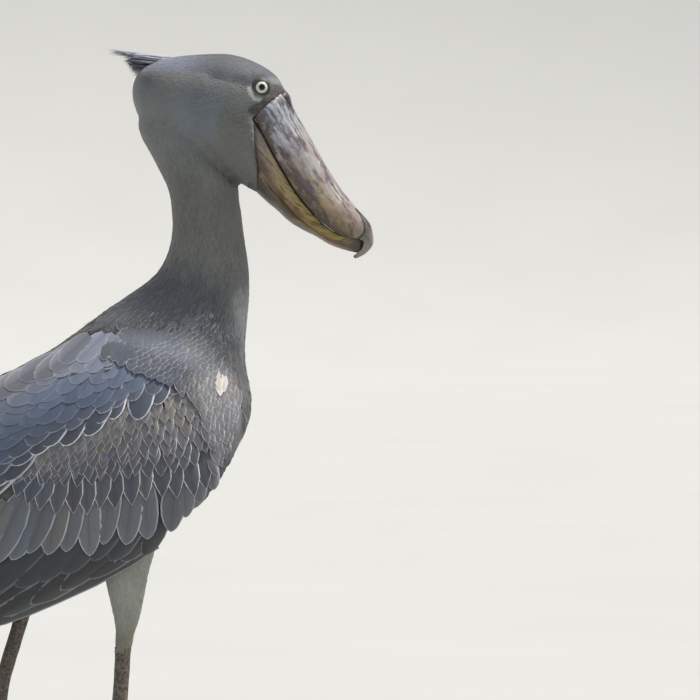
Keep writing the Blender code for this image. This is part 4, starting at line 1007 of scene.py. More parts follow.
# Feather tracts, deepest first: count, colour, rim, how pointed, how varied, then rows from first to last.
# A row says where the tip lies along and above the body's axis, length, width, heading, height of the face.
wing["tracts"] = [
    ("primary", 7, "#2c2e34", 0.15, 0.3, 0.1, [(596, -68, 170, 18, 0, 1.4), (604, -58, 175, 18, -1, 1.7),
                                               (608, -47, 180, 18, -3, 2.0), (606, -37, 180, 18, -5, 2.3)]),
    ("secondary", 12, "#25272b", 0.3, 0.15, 0.1,
     [(150, -146, 70, 24, -30, 0.8), (205, -137, 108, 26, -14, 1.0), (330, -131, 215, 30, -1, 1.6),
      (430, -116, 240, 33, 0, 2.2), (520, -95, 240, 34, -2, 2.8), (572, -74, 235, 34, -4, 3.4)]),
    ("tertial", 6, "#454b56", 0.4, 0.2, 0.08, [(566, -46, 252, 38, -5, 4.0), (545, -20, 245, 39, -6, 4.3),
                                               (520, 6, 225, 39, -8, 4.6), (488, 32, 200, 37, -10, 4.9)]),
    ("hiddenSecondary", 9, "#2f3238", 0.15, 0.15, 0.1,
     [(190, -126, 80, 30, -28, 1.4), (260, -112, 110, 34, -20, 1.8), (340, -98, 130, 36, -12, 2.2),
      (430, -84, 140, 38, -8, 2.6)]),
    ("greater", 15, "#62656a", 0.6, 0.5, 0.16, [(40, -112, 44, 20, -74, 2.0), (70, -124, 54, 25, -68, 2.8),
                                                (105, -131, 66, 29, -58, 3.2), (136, -128, 76, 31, -60, 3.4),
                                                (187, -110, 80, 32, -52, 3.6), (213, -106, 84, 32, -60, 3.7),
                                                (260, -81, 86, 33, -44, 3.9), (288, -76, 90, 35, -44, 4.0),
                                                (330, -62, 92, 38, -30, 4.2), (372, -50, 96, 38, -20, 4.4)]),
    ("median", 15, "#4d515a", 1.0, 1.0, 0.2, [(30, -98, 40, 17, -76, 3.0), (56, -112, 50, 22, -74, 4.0),
                                              (92, -94, 54, 25, -68, 4.6), (118, -86, 58, 26, -66, 4.8),
                                              (147, -77, 60, 26, -64, 4.9), (184, -64, 60, 26, -62, 5.0),
                                              (220, -46, 60, 27, -60, 5.1), (240, -28, 58, 27, -50, 5.3),
                                              (256, -4, 54, 27, -42, 5.5)]),
]
wing["streak"] = "#767b8b"    # painted highlight: a sunlit band high in the cape, drawn as paler feathers
wing["bands"] = {    # tracts that change from their low row of feathers to their high one
    "lesser": {"rows": 8, "count": (19, 28), "vary": 0.17, "point": 0.95, "stray": 2.2,
               "rim": (1.0, 0.9, 0.9, 0.8, 0.8, 0.7, 0.6, 0.6),
               "hex": ("#4e5058", "#54565d", "#5b5c62", "#616165", "#676769", "#6d6c6d", "#737171",
                       "#787675"),
               "low": [(16, -66, 30, 14, -74, 4.0), (60, -76, 34, 17, -70, 5.0),
                       (118, -52, 36, 18, -64, 5.2), (178, -32, 38, 19, -60, 5.4),
                       (218, -12, 38, 20, -54, 5.5), (256, 12, 34, 20, -42, 5.8)],
               "high": [(2, 0, 18, 10, -62, 3.6), (42, 10, 20, 11, -62, 5.8),
                        (100, 14, 22, 12, -58, 6.4), (170, 22, 24, 14, -50, 6.5),
                        (206, 27, 24, 14, -46, 6.5), (264, 20, 26, 16, -40, 6.5)]},
    "cape": {"rows": 7, "count": (19, 20), "vary": 0.09, "point": 0.1, "stray": 1.9,
             "rim": (1.0, 0.4, 0.12, 0.08, 0.08, 0.2, 0.3),
             "hex": ("#3e4554", "#434c5d", "#48546a", "#505d74", "#596477", "#63697a", "#60636e"),
             "low": [(10, 8, 34, 20, -62, 5.0), (42, 13, 56, 26, -58, 6.6), (80, 11, 74, 32, -54, 7.0),
                     (125, 22, 90, 35, -50, 7.2), (168, 22, 100, 37, -44, 7.3),
                     (205, 26, 112, 40, -38, 7.4), (270, 22, 126, 43, -28, 7.5),
                     (340, 16, 140, 45, -18, 7.4), (424, 16, 140, 46, -12, 7.0)],
             "high": [(74, 84, 26, 18, -30, 6.0), (104, 97, 40, 22, -20, 7.8), (140, 106, 52, 25, -10, 8.6),
                      (180, 110, 62, 26, -4, 9.0), (225, 112, 70, 27, 0, 9.4), (272, 110, 78, 28, 1, 9.4),
                      (325, 104, 86, 30, -2, 9.2), (375, 90, 92, 32, -5, 8.8), (430, 66, 104, 36, -8, 8.0)]},
}


def tractRows():
    tracts = [(*tract[:6], 1.5, 0, tract[6]) for tract in wing["tracts"]]
    for name, band in wing["bands"].items():
        for k in range(band["rows"]):
            share = k / (band["rows"] - 1)
            rows = np.array(band["low"], float) * (1 - share) + np.array(band["high"], float) * share
            count = round(band["count"][0] * (1 - share) + band["count"][1] * share)
            tracts.append((f"{name}{k}", count, band["hex"][k], band["rim"][k], band["point"], band["vary"],
                           band["stray"], 0.5 * (k % 2), rows))
    return tracts


def layVanes(name, place, feathers, form, seed, slope, calm=None):
    # feathers: along, above, length, width, heading, height, colour, rim, point, how varied; millimetres
    draw = np.random.default_rng(seed)
    share, blunt, point, t = (np.array(form[key], float) for key in ("share", "wide", "narrow", "round"))
    blunt, point, top = blunt[None, :, None], point[None, :, None], form["top"]
    count, rows, ring = len(feathers), len(share), len(t)
    a, b, length, width, heading, high = (feathers[:, k, None, None] for k in range(6))
    s, t = share[None, :, None], t[None, None]
    w = blunt + (point - blunt) * feathers[:, 10, None, None]
    heading = np.radians(heading)
    bend = draw.uniform(0.5, 3.5, (count, 1, 1)) * length / 120
    ragged = 1 + draw.normal(0, 0.02, (count, rows, ring))

    def spot(s, w, t, ragged=1.0):
        across = bend * (1 - s) ** 2 + t * w * width / 2 * ragged
        x = a - np.cos(heading) * length * (1 - s) - np.sin(heading) * across
        y = b - np.sin(heading) * length * (1 - s) + np.cos(heading) * across
        return x, y

    x, y = spot(s, w, t, ragged)
    lean = vane["lean"] * np.clip(width / 28, 0.5, 1.3)
    shaft = 0.30 * np.exp(-(t / 0.06) ** 2) * (1 - 0.6 * s)
    lift = high - slope * (1 - s) + vane["crown"] * (1 - t**2) - lean * t * w + shaft
    under = np.zeros(ring)
    under[top:] = 1
    lift = lift - under[None, None] * (vane["thick"] * (1 - 0.45 * s) + vane["crown"] * 0.3)
    rings = place(x, y, lift)
    tipX, tipY = spot(np.ones((count, 1, 1)), 1.0, np.zeros((count, 1, 1)))
    tips = place(tipX, tipY, high)[:, 0, 0]
    flatT, flatS = np.append((t * blunt + 0 * s)[0].ravel(), 0.0), np.append((s + 0 * t)[0].ravel(), 1.0)
    edge = np.append(np.maximum(np.abs(t) + 0 * s, ease(0.90, 1.0, s) * np.ones_like(t))[0].ravel(), 1.0)
    uv = np.stack([flatT[None] * feathers[:, 3:4] / 2000,
                   flatS[None] * feathers[:, 2:3] / 1000 + draw.uniform(0, 9, (count, 1))], -1)
    corner = np.stack([feathers[:, 0] / 720 + 0.1, feathers[:, 1] / 300 + 0.5], -1)
    size = np.clip(feathers[:, 3] / 30, 0.3, 1)[:, None, None] * 0.006
    patch = np.clip(corner, 0.01, 0.99)[:, None] + np.stack([flatT, flatS - 0.5], -1)[None] * size
    # some are browner or bluer, some darker or paler
    change = 1 + draw.normal(0, 0.3, (count, 1)) * feathers[:, 11:12] * np.array([[1.0, 0.1, -1.0]])
    change = change + feathers[:, 11:12] * draw.uniform(-1, 1, (count, 1))
    worn = feathers[:, 9:10] * draw.uniform(0.6, 1.0, (count, 1))
    tint = np.concatenate([feathers[:, 6:9] * change, worn], 1)
    each, lies = rows * ring + 1, None
    if calm is not None:
        up = unit(place(x, y, lift + 1.0) - rings)
        side = unit(rings[:, :, top - 1:top] - rings[:, :, :1]) * (t * calm)[..., None]
        lies = unit(up + side).reshape(count, -1, 3)
        lies = np.concatenate([lies, lies[:, -ring + top // 2][:, None]], 1)
    return shellMesh(name, rings, tips, {"OFBake": patch, "vane": uv},
                     {"tint": np.repeat(tint[:, None], each, 1), "edge": np.tile(edge, (count, 1))}, top,
                     lies)


def featherTable(tract, seed):
    name, count, tint, rim, point, vary, stray, shift, rows = tract
    draw = np.random.default_rng(seed)
    rows = np.array(rows, float)
    far = np.concatenate([[0], np.hypot(*np.diff(rows[:, :2], axis=0).T).cumsum()])
    places = (np.arange(count) + shift) / (count - 1) * far[-1]
    table = rowAt(rows, np.interp(places, far, np.arange(len(rows))))
    scale = np.clip(table[:, 3:4] / 30, 0.4, 1.2) * stray
    table[:, 0:2] += draw.uniform(-2.6, 2.6, (count, 2)) * scale
    table[:, 2:3] *= 1 + 0.07 * stray * draw.uniform(-1, 1, (count, 1))
    table[:, 4] += draw.uniform(-4, 4, count) * stray
    table[:, 5] += draw.uniform(-0.15, 0.15, count)
    colour = np.tile(np.array(hexColour(tint)[:3] + (rim, point, vary)), (count, 1))
    if name.startswith("cape"):    # painted highlight: its upper feathers are paler in one band, where sunlight catches the cape
        streak = ease(16, 4, np.hypot((table[:, 0] - 118) / 4, table[:, 1] - 91))[:, None]
        colour[:, :3] += (rgb(wing["streak"]) - colour[:, :3]) * streak
    return np.concatenate([table, colour], 1)


def joinInto(target, others):
    bpy.context.view_layer.update()
    with bpy.context.temp_override(active_object=target, selected_editable_objects=[target, *others]):
        bpy.ops.object.join()
    return target


def dressWing(name, side, material):
    def place(x, y, lift):
        return overFlank(shieldOut, x * 0.001, y * 0.001, lift * 0.001, side)

    large, small = [], []
    for k, tract in enumerate(tractRows()):
        table = featherTable(tract, 40 + k)
        (large if table[:, 3].mean() > 27 or table[:, 2].mean() > 90 else small).append(table)
    big = layVanes(f"wing_{name}_flight", place, np.concatenate(large), vane["large"], 61, vane["rise"], 0.5)
    little = layVanes(f"wing_{name}_coverts", place, np.concatenate(small), vane["small"], 62, vane["rise"],
                      0.32)
    trees = [skinTree, treeOf(big), treeOf(little)]
    finishPiece(big, material, f"wing_{name}", slot="wing_feathers", smooth=False)
    finishPiece(little, material, slot="wing_feathers", smooth=False)
    print(f"wing {name}: {sum(map(len, large))} large, {sum(map(len, small))} small")
    return trees


def coverShoulder(name, side, trees, material):    # contour feathers that run back over the bend of the wing
    overAll, overSkin = flankField(trees, side), flankField([skinTree], side)

    def out(x, y):
        return overAll(x * 0.001, y * 0.001)

    def place(x, y, lift):
        return overFlank(overAll, x * 0.001, y * 0.001, lift * 0.001, side)

    draw = np.random.default_rng(37 + side)
    a, b = np.meshgrid(np.arange(-76, 96, shoulder["apart"][0]), np.arange(-128, 124, shoulder["apart"][1]))
    a = a + (np.arange(len(a)) % 2)[:, None] * shoulder["apart"][0] / 2
    a, b = (v.ravel() + draw.uniform(-1.6, 1.6, v.size) for v in (a, b))
    levels = np.array(shoulder["levels"], float)
    heading, length, width, point, rear = (np.interp(b, levels[:, 0], levels[:, k]) for k in range(1, 6))
    under = np.array(shoulder["under"], float)
    slope = (out(a + 4, b) - out(a - 4, b)) / 0.008
    rise = (out(a, b + 4) - out(a, b - 4)) / 0.008
    gap = out(a, b) - overSkin(a * 0.001, b * 0.001)
    stay = (a < rear + draw.uniform(-4, 4, a.size)) & ((a > -60) | (b < 55)) & (out(a, b) > 0.03)
    stay &= b > np.interp(a, under[:, 0], under[:, 1]) + 2
    stay &= np.hypot(slope, rise) < np.interp(a, [-52, -35], [1.5, 2.8])
    stay &= gap < np.interp(b, [85, 120], [0.025, 0.004])
    high = 0.4 + 1.8 * ease(-70, -40, a) * ease(110, 70, b)
    levels, hexes = zip(*shoulder["hex"])
    tone = np.array([rgb(tint) for tint in hexes])
    tint = np.stack([np.interp(b, levels, tone[:, k]) for k in range(3)], -1)
    tint += (rgb(shoulder["cape"]) - tint) * (ease(-18, -6, a) * ease(10, 26, b))[:, None]
    # painted highlight: pale feathers, raised a little, where sunlight catches the shoulder
    pale = np.hypot(a - shoulder["sunSpotAt"][0], (b - shoulder["sunSpotAt"][1]) * 0.6) < shoulder["sunSpotWide"]
    tint[pale], high[pale] = rgb(shoulder["pale"]), high[pale] + 0.9
    rim = draw.uniform(0.4, 1.0, a.size) * np.where(b > 15, 0.75, 1.0)
    table = np.stack([a, b, length, width, heading + draw.normal(0, 5, a.size), high, *tint.T, rim, point,
                      np.full_like(a, shoulder["vary"])], -1)[stay]
    item = layVanes(f"plumageShoulder_{name}", place, table, vane["small"], 35 + side, shoulder["slope"], 0.3)
    finishPiece(item, material, slot="body_feathers", smooth=False)
    print(f"plumageShoulder_{name}: {len(table)} feathers")


print("wings")
flightBarbs = barbKeratin("flightBarbs", "#cfcfd4", "#2c2d31", 0.84, barb=0.0012, roughness=0.6, streak=0.1,
                          shaft=0.3)
for wingName, wingSide in (("right", -1), ("left", 1)):
    coverShoulder(wingName, wingSide, dressWing(wingName, wingSide, flightBarbs), contourBarbs)


tail = {"count": 11, "tip": 640, "length": 128, "width": 26, "half": 28, "fan": 1.1, "hex": "#3c4047"}


def fanTail():
    def place(x, y, lift):
        droop = 5 * (y / tail["half"]) ** 2
        return bodyPoint(x * 0.001, (2 - 0.14 * (x - 575) - droop + lift) * 0.001, y * 0.001)

    rows = []
    middle = (tail["count"] - 1) / 2
    for k in range(tail["count"]):
        out = (k - middle) / middle
        rows.append([tail["tip"] - 6 * out * out, 1.1 * tail["half"] * out, tail["length"], tail["width"],
                     tail["fan"] * 3 * out, 3.0 - 1.6 * abs(out), *hexColour(tail["hex"])[:3], 0.3, 0.2,
                     0.06])
    item = layVanes("tailVanes", place, np.array(rows), vane["large"], 71, 1.2)
    finishPiece(item, flightBarbs, "tail", slot="wing_feathers", smooth=False)


print("tail")
fanTail()


crest = {
    # strands, root spread, tip spread, root, middle, tip (side view), shorter outside, half width, colour
    "tiers": [
        (40, 8, 5, (60, 1103), (22, 1106.5), (-19, 1111.5), 9, 1.2, "#a4a7b4"),
        (54, 11, 8, (62, 1101), (30, 1103.5), (-10, 1107.5), 14, 1.4, "#7b7e90"),
        (110, 15, 11, (54, 1096), (28, 1099.5), (2, 1098.5), 7, 1.8, "#555866"),
        (96, 15, 11, (48, 1090), (28, 1094), (6, 1094), 6, 1.9, "#4c4e59"),
        (60, 13, 9, (44, 1086), (27, 1089), (9, 1087), 6, 1.6, "#82858f"),
        (26, 10, 8, (44, 1082), (27, 1084), (10, 1084.5), 4, 1.1, "#a6a9ae"),
    ],
    "share": [0, 0.3, 0.6, 0.85], "wide": [0.8, 1.0, 0.7, 0.35],
}


def combCrest(material):
    draw = np.random.default_rng(17)
    rings, tips, tints, sizes, corners = [], [], [], [], []
    for count, roots, ends, root, middle, tip, shorter, half, tint in crest["tiers"]:
        for _ in range(count):
            out = draw.uniform(-1, 1)
            short = shorter * abs(out) + abs(draw.normal(0, 5))
            a = sidePoint(root[0] + draw.uniform(-6, 6), root[1] - 3 * out**2 + draw.uniform(-1.5, 1.0))
            a += sideways * roots * out * 0.001
            c = sidePoint(tip[0] + short, tip[1] - 3 * abs(out) + draw.normal(0, 2.3))
            c += sideways * (ends * out + draw.normal(0, 1)) * 0.001
            b = sidePoint(middle[0] + short * 0.5, middle[1] - 3 * out**2 + draw.normal(0, 0.6))
            b += sideways * (roots + ends) / 2 * out * 0.001
            bend = 2 * b - (a + c) / 2
            across = unit(np.cross(c - a, np.array([0, 0.5 * out, 1.0])))
            up = unit(np.cross(across, c - a))
            size = half * draw.uniform(0.7, 1.3) * 0.001
            rows = []
            for s, w in zip(crest["share"], crest["wide"]):
                spot = a * (1 - s) ** 2 + bend * 2 * s * (1 - s) + c * s**2
                rows.append([spot - across * size * w, spot + up * size * 0.5 * w, spot + across * size * w])
            rings.append(rows)
            tips.append(c)
            tints.append([*(rgb(tint) * draw.uniform(0.75, 1.2)), 0.35])
            sizes.append((size * 2, np.linalg.norm(c - a)))
            corners.append((0.5 + 0.4 * out, 0.1 + 0.8 * (1110 - root[1]) / 30))
    rings, tips, tints, sizes, corners = map(np.array, (rings, tips, tints, sizes, corners))
    s = np.append(np.repeat(crest["share"], 3), 1.0)
    t = np.append(np.tile([-1.0, 0.0, 1.0], 4), 0.0)
    uv = np.stack([t[None] * sizes[:, :1] / 2, s[None] * sizes[:, 1:]], -1)
    patch = corners[:, None] + np.stack([t, s - 0.5], -1)[None] * 0.0015
    edge = np.append(np.tile([1.0, 0.0, 1.0], 4), 1.0)
    item = shellMesh("crestLocks", rings, tips, {"OFBake": patch, "vane": uv},
                     {"tint": np.repeat(tints[:, None], 13, 1), "edge": np.tile(edge, (len(rings), 1))})
    finishPiece(item, material, "crest", slot="body_feathers", smooth=False)


print("crest")
combCrest(barbKeratin("crestBarbs", "#c2c5cc", "#4a4c55", 0.8, barb=0.0009, sheen=0.2, shaft=0.2))


bill = {
    "upper": [(200, 1072, 158, 1043, 45), (210, 1060.5, 168, 1028.5, 46), (219, 1036, 177.5, 1011, 47.5),
              (236, 1007, 189, 989, 50), (256, 971, 204, 962.5, 52), (276, 939, 221, 934.5, 52),
              (292.5, 919, 240, 911, 48.5), (304, 905, 262.5, 889.5, 40), (311.5, 895, 281, 880, 30),
              (315, 884, 296, 877, 19.5), (316, 875, 304, 874, 12), (314, 867, 302.5, 865.5, 8.5),
              (305, 857.5, 298, 861, 5.5), (293, 852, 291.5, 855, 2.2)],
    "lower": [(166, 1029.5, 165, 940, 42), (177.5, 1010, 182.5, 923, 44), (189, 987.5, 196, 912, 46.5),
              (204, 961, 211, 898, 47.5), (221, 933, 227.5, 887.5, 46), (240, 909.5, 244, 879.5, 42),
              (262.5, 888, 261, 869.5, 34), (279, 880.5, 276, 863.5, 25), (291, 878, 288, 860.5, 16),
              (300.5, 876.5, 298, 859, 10), (305, 875.5, 303, 861.5, 5)],
    "power": 2.3, "ridge": 0.0016, "ridgeSpread": 0.009,
    "nailLine": [(296, 914), (302, 905), (307, 894), (306, 884), (299, 877), (293, 872)],
    "nostril": [(205, 1058.5), (212, 1047.5), (220, 1035.5)], "long": 0.185,
}


def billArc(grid):    # distances across from the middle line and along from the root, in metres
    across = np.linalg.norm(np.diff(grid, axis=1), axis=2).cumsum(1)
    across = np.concatenate([np.zeros((len(grid), 1)), across], 1)
    along = np.concatenate([[0], np.linalg.norm(np.diff(grid.mean(1), axis=0), axis=1).cumsum()])
    return np.stack([across - across[:, -1:] / 2, np.repeat(along[:, None], grid.shape[1], 1)], -1)


def outwards(grid, way):    # square to the surface, on the side that faces that way at its middle
    normal = unit(np.cross(np.gradient(grid, axis=0), np.gradient(grid, axis=1)))
    middle = len(grid) // 2, grid.shape[1] // 2
    return normal if normal[middle] @ way[middle] > 0 else -normal


def upperBill():
    places, turn = np.linspace(0.35, 13, 150)[:, None], np.linspace(-math.pi / 2, math.pi / 2, 73)[None]
    row = rowAt(bill["upper"], places + 0 * turn)
    ridge, edge = sidePoint(row[..., 0], row[..., 1]), sidePoint(row[..., 2], row[..., 3])
    tall = np.linalg.norm(ridge - edge, axis=-1)
    up = (ridge - edge) / tall[..., None]
    rise, reach = rounded(turn + 0 * places, bill["power"])
    shrink = 1 - 0.05 * ease(1.4, 0.5, places)
    out = row[..., 4] * 0.001 * reach * shrink
    peak = np.minimum(bill["ridge"], 0.05 * tall)
    dome = (tall - peak) * np.maximum(rise, 0) * shrink
    high = dome + peak * np.exp(-((out / bill["ridgeSpread"]) ** 2))
    grid = edge + up * high[..., None] + sideways * out[..., None]
    x, z = localView(grid)
    beside = np.abs(out) * 1000
    furrow = np.exp(-((beside - 11) / 2.2) ** 2) * ease(0.8, 2, places) * ease(9.5, 7.5, places)
    push = -0.55 * furrow
    slit = nearLine(x, z, bill["nostril"])
    push -= 3.4 * np.exp(-(slit / 1.7) ** 2) * (beside > 3)
    push += 0.7 * np.exp(-((slit - 3.8) / 1.6) ** 2) * (beside > 3)
    nail = nailSide(x, z)
    push += 0.9 * ease(0.0, 2.5, nail) - 0.7 * np.exp(-((nail + 0.6) / 1.1) ** 2)
    lip = np.abs(np.abs(turn) - math.pi / 2)
    push += 0.8 * np.exp(-(lip / 0.09) ** 2) * ease(10, 8, places)
    push += 0.55 * noiseAt(grid, 26) + 0.25 * noiseAt(grid, 8, 3) + 0.12 * noiseAt(grid, 2.2, 9)
    grid = grid + outwards(grid, up) * (push * 0.001)[..., None]
    arc = billArc(grid)
    attributes = {"rise": np.maximum(rise, 0), "reach": arc[..., 1] / bill["long"],
                  "nail": ease(-0.5, 1.5, nail),
                  # groove: where painted shade darkens the nostril slit and the groove behind the nail
                  "groove": np.exp(-((nail + 0.6) / 1.3) ** 2) + np.exp(-(slit / 2.2) ** 2) * (beside > 3)}
    item = loftMesh("billUpper", grid, attributes, arc)
    finishPiece(item, hornSheath("upperHorn"), "upper_bill", slot="horn")


def nailSide(x, z):    # millimetres past the line behind the hooked nail
    line = bill["nailLine"]
    level = np.interp(z, [p[1] for p in line[::-1]], [p[0] for p in line[::-1]])
    return (x - level) * 0.85


def lowerBill():
    places, turn = np.linspace(0.1, 10, 120)[:, None], np.linspace(-math.pi / 2, math.pi / 2, 61)[None]
    row = rowAt(bill["lower"], places + 0 * turn)
    edge, keel = sidePoint(row[..., 0], row[..., 1]), sidePoint(row[..., 2], row[..., 3])
    deep = np.linalg.norm(keel - edge, axis=-1)
    down = (keel - edge) / deep[..., None]
    rise, reach = rounded(turn + 0 * places, bill["power"])
    out = row[..., 4] * 0.001 * reach
    grid = edge + down * (deep * np.maximum(rise, 0))[..., None] + sideways * out[..., None]
    rise = np.maximum(rise, 0)
    seam = np.exp(-((rise - 0.72) / 0.035) ** 2) * ease(0.3, 1.5, places) * ease(8.2, 6.5, places)
    push = 0.5 * noiseAt(grid, 22, 4) + 0.22 * noiseAt(grid, 6, 8) + 0.1 * noiseAt(grid, 2.2, 2) - 0.7 * seam
    push -= 0.5 * ease(0.74, 0.9, rise)
    grid = grid + outwards(grid, down) * (push * 0.001)[..., None]
    arc = billArc(grid)
    # groove: the seam's crease, darkened with painted shade
    attributes = {"rise": rise, "reach": arc[..., 1] / bill["long"], "nail": 0 * rise, "groove": seam}
    item = loftMesh("billLower", grid, attributes, arc)
    finishPiece(item, hornSheath("lowerHorn", lower=True), "lower_bill", slot="horn")


# The bill's sheath is layered keratin: satin, thinly translucent, with lengthwise growth lines and stains. Its
# colours also hold a painted highlight along the ridge, and painted shade in the nostril slit, in the grooves
# and where the two halves meet.
def hornSheath(name, lower=False):
    material, tree, shader = startMaterial(name, **{"Coat Weight": 0.16, "Coat Roughness": 0.3,
                                                    "Subsurface Weight": 0.04, "Subsurface Scale": 0.002})
    grain = addNode(tree, "ShaderNodeUVMap", uv_map="grain").outputs["UV"]
    where = addNode(tree, "ShaderNodeTexCoord").outputs["Object"]
    rise, reach, nail, groove = (addNode(tree, "ShaderNodeAttribute", attribute_name=key).outputs["Fac"]
                                 for key in ("rise", "reach", "nail", "groove"))
    stretch = addNode(tree, "ShaderNodeMapping", {"Vector": grain, "Scale": (230.0, 30.0, 1.0)}).outputs[0]
    streaks = addNode(tree, "ShaderNodeTexNoise",
                      {"Vector": stretch, "Scale": 1.0, "Detail": 5.0, "Roughness": 0.65}).outputs["Fac"]
    stain = addNode(tree, "ShaderNodeMapping", {"Vector": grain, "Scale": (62.0, 26.0, 1.0)}).outputs[0]
    cloud = addNode(tree, "ShaderNodeTexNoise",
                    {"Vector": stain, "Scale": 1.0, "Detail": 5.0, "Roughness": 0.66}).outputs["Fac"]
    patch = addNode(tree, "ShaderNodeTexNoise",
                    {"Vector": where, "Scale": 34.0, "Detail": 3.0, "Distortion": 0.6}).outputs["Fac"]
    fine = addNode(tree, "ShaderNodeTexNoise",
                   {"Vector": where, "Scale": 300.0, "Detail": 3.0}).outputs["Fac"]
    # ragged: the bill's edge, where painted shade lines the meeting of the two halves
    ragged = addNode(tree, "ShaderNodeMath", {0: cloud, 1: -0.10, 2: rise},
                     operation="MULTIPLY_ADD").outputs[0]
    # each stain, painted highlight and painted shade below: colour, then two masks with where they begin and are
    # full, then how strong it is
    if lower:
        colour = "#857a70"
        stainsShadeAndHighlights = [("#93804c", reach, 0.10, 0.34, patch, 0.25, 0.45, 0.95),
                  ("#8a7a2c", reach, 0.40, 0.60, patch, 0.70, 0.48, 0.95),
                  ("#6c4a2a", cloud, 0.42, 0.56, rise, 0.25, 0.55, 0.9),
                  ("#4a3020", patch, 0.44, 0.56, rise, 0.34, 0.6, 0.95),
                  ("#45362c", streaks, 0.47, 0.60, cloud, 0.42, 0.54, 0.9),
                  ("#33261f", streaks, 0.53, 0.62, patch, 0.4, 0.52, 0.95),
                  ("#4e4a40", rise, 0.72, 0.78, reach, 1.2, 0.0, 0.9),
                  ("#6d4f1f", rise, 0.70, 0.80, reach, 0.45, 0.65, 0.9),
                  ("#2d261f", reach, 0.80, 0.92, patch, 0.2, 0.4, 0.92),
                  ("#57544e", reach, 0.10, 0.0, patch, 0.35, 0.5, 0.7),
                  # painted shade: dark in the crease of the seam
                  ("#2a1d15", groove, 0.2, 0.9, reach, -1, 0, 0.9),
                  # painted shade: a dark ragged line along the edge where the two halves of the bill meet
                  ("#2b1c13", ragged, 0.03, -0.03, reach, -1, 0, 0.92)]
    else:
        colour = "#7d838c"
        stainsShadeAndHighlights = [("#6f625b", reach, 0.22, 0.52, patch, 0.22, 0.5, 1.0),
                  ("#989ca2", patch, 0.45, 0.6, reach, 0.5, 0.2, 0.7),
                  # painted highlight: pale along the top near the ridge, where light falls
                  ("#b3aca3", rise, 0.68, 0.95, cloud, 0.35, 0.6, 0.8),
                  ("#79701f", rise, 0.85, 0.30, reach, 0.50, 0.80, 0.85),
                  ("#7d6a68", reach, 0.70, 0.84, patch, 0.35, 0.5, 0.5),
                  ("#463b48", cloud, 0.45, 0.56, patch, 0.40, 0.52, 0.95),
                  ("#3d4655", streaks, 0.47, 0.58, reach, 0.42, 0.2, 0.9),
                  ("#382c2a", streaks, 0.48, 0.58, cloud, 0.44, 0.56, 0.92),
                  ("#3f3122", cloud, 0.40, 0.52, rise, 0.36, 0.12, 0.92),
                  ("#3b342e", nail, 0.2, 0.8, patch, 0.25, 0.4, 0.95),
                  ("#8d877b", reach, 1.12, 1.25, patch, 0.1, 0.2, 0.7),
                  # painted shade: a dark ragged line along the edge where the two halves of the bill meet
                  ("#2a1d15", ragged, 0.015, -0.035, reach, 1.3, 1.0, 0.92),
                  # painted shade: dark in the nostril slit and the groove behind the nail
                  ("#1a1412", groove, 0.15, 0.7, reach, -1, 0, 0.97)]
    stainsShadeAndHighlights.append(("#4a4142", fine, 0.62, 0.70, streaks, 0.4, 0.5, 0.5))
    for tint, first, low, high, second, start, full, share in stainsShadeAndHighlights:
        one = addNode(tree, "ShaderNodeMapRange", {"Value": first, "From Min": low, "From Max": high})
        two = addNode(tree, "ShaderNodeMapRange",
                      {"Value": second, "From Min": start, "From Max": full, "To Max": share})
        both = addNode(tree, "ShaderNodeMath", {0: one.outputs[0], 1: two.outputs[0]}, operation="MULTIPLY")
        colour = addNode(tree, "ShaderNodeMix", {0: both.outputs[0], 6: colour, 7: tint},
                         data_type="RGBA").outputs[2]
    rough = addNode(tree, "ShaderNodeMapRange", {"Value": cloud, "To Min": 0.36, "To Max": 0.62}).outputs[0]
    height = addNode(tree, "ShaderNodeMath", {0: streaks, 1: 1.4, 2: fine},
                     operation="MULTIPLY_ADD").outputs[0]
    bump = addNode(tree, "ShaderNodeBump", {"Height": height, "Strength": 0.4, "Distance": 0.0007})
    tree.links.new(colour, shader.inputs["Base Color"])
    tree.links.new(rough, shader.inputs["Roughness"])
    tree.links.new(bump.outputs["Normal"], shader.inputs["Normal"])
    return material


print("bill")
upperBill()
lowerBill()


def roundFrame(side):    # eye's centre and three directions: out, forward and up
    axis = eyeAxis(side)
    return eyeCentre(side), axis, unit(np.cross(axis, upward) * side * -1), upward


# Eyeball: wet cornea over a pale iris with fine spokes, so it is the only mirror-bright thing on the head.
def wetEye():
    material, tree, shader = startMaterial("wetEye",
                                           **{"Roughness": 0.1, "IOR": 1.34, "Specular IOR Level": 0.35,
                                              "Coat Weight": 0.25, "Coat Roughness": 0.02})
    out = addNode(tree, "ShaderNodeAttribute", attribute_name="out").outputs["Fac"]
    spoke = addNode(tree, "ShaderNodeAttribute", attribute_name="spoke").outputs["Fac"]
    lines = addNode(tree, "ShaderNodeTexNoise", {"W": spoke, "Scale": 26.0, "Detail": 3.0},
                    noise_dimensions="1D").outputs["Fac"]
    iris = addNode(tree, "ShaderNodeMix", {0: lines, 6: "#a0a596", 7: "#dde0d6"}, data_type="RGBA").outputs[2]
    rimIn = addNode(tree, "ShaderNodeMapRange",
                    {"Value": out, "From Min": eye["rim"][0], "From Max": eye["rim"][1], "To Min": 0.6,
                     "To Max": 0.0}).outputs[0]
    warm = addNode(tree, "ShaderNodeMix", {0: rimIn, 6: iris, 7: "#3d3c30"}, data_type="RGBA").outputs[2]
    pupil = addNode(tree, "ShaderNodeMapRange",
                    {"Value": out, "From Min": eye["pupil"][0], "From Max": eye["pupil"][1]}).outputs[0]
    inner = addNode(tree, "ShaderNodeMix", {0: pupil, 6: "#050505", 7: warm}, data_type="RGBA").outputs[2]
    ring = addNode(tree, "ShaderNodeMapRange",
                   {"Value": out, "From Min": eye["ring"][0], "From Max": eye["ring"][1]}).outputs[0]
    colour = addNode(tree, "ShaderNodeMix", {0: ring, 6: inner, 7: "#1a1613"}, data_type="RGBA").outputs[2]
    tree.links.new(colour, shader.inputs["Base Color"])
    return material
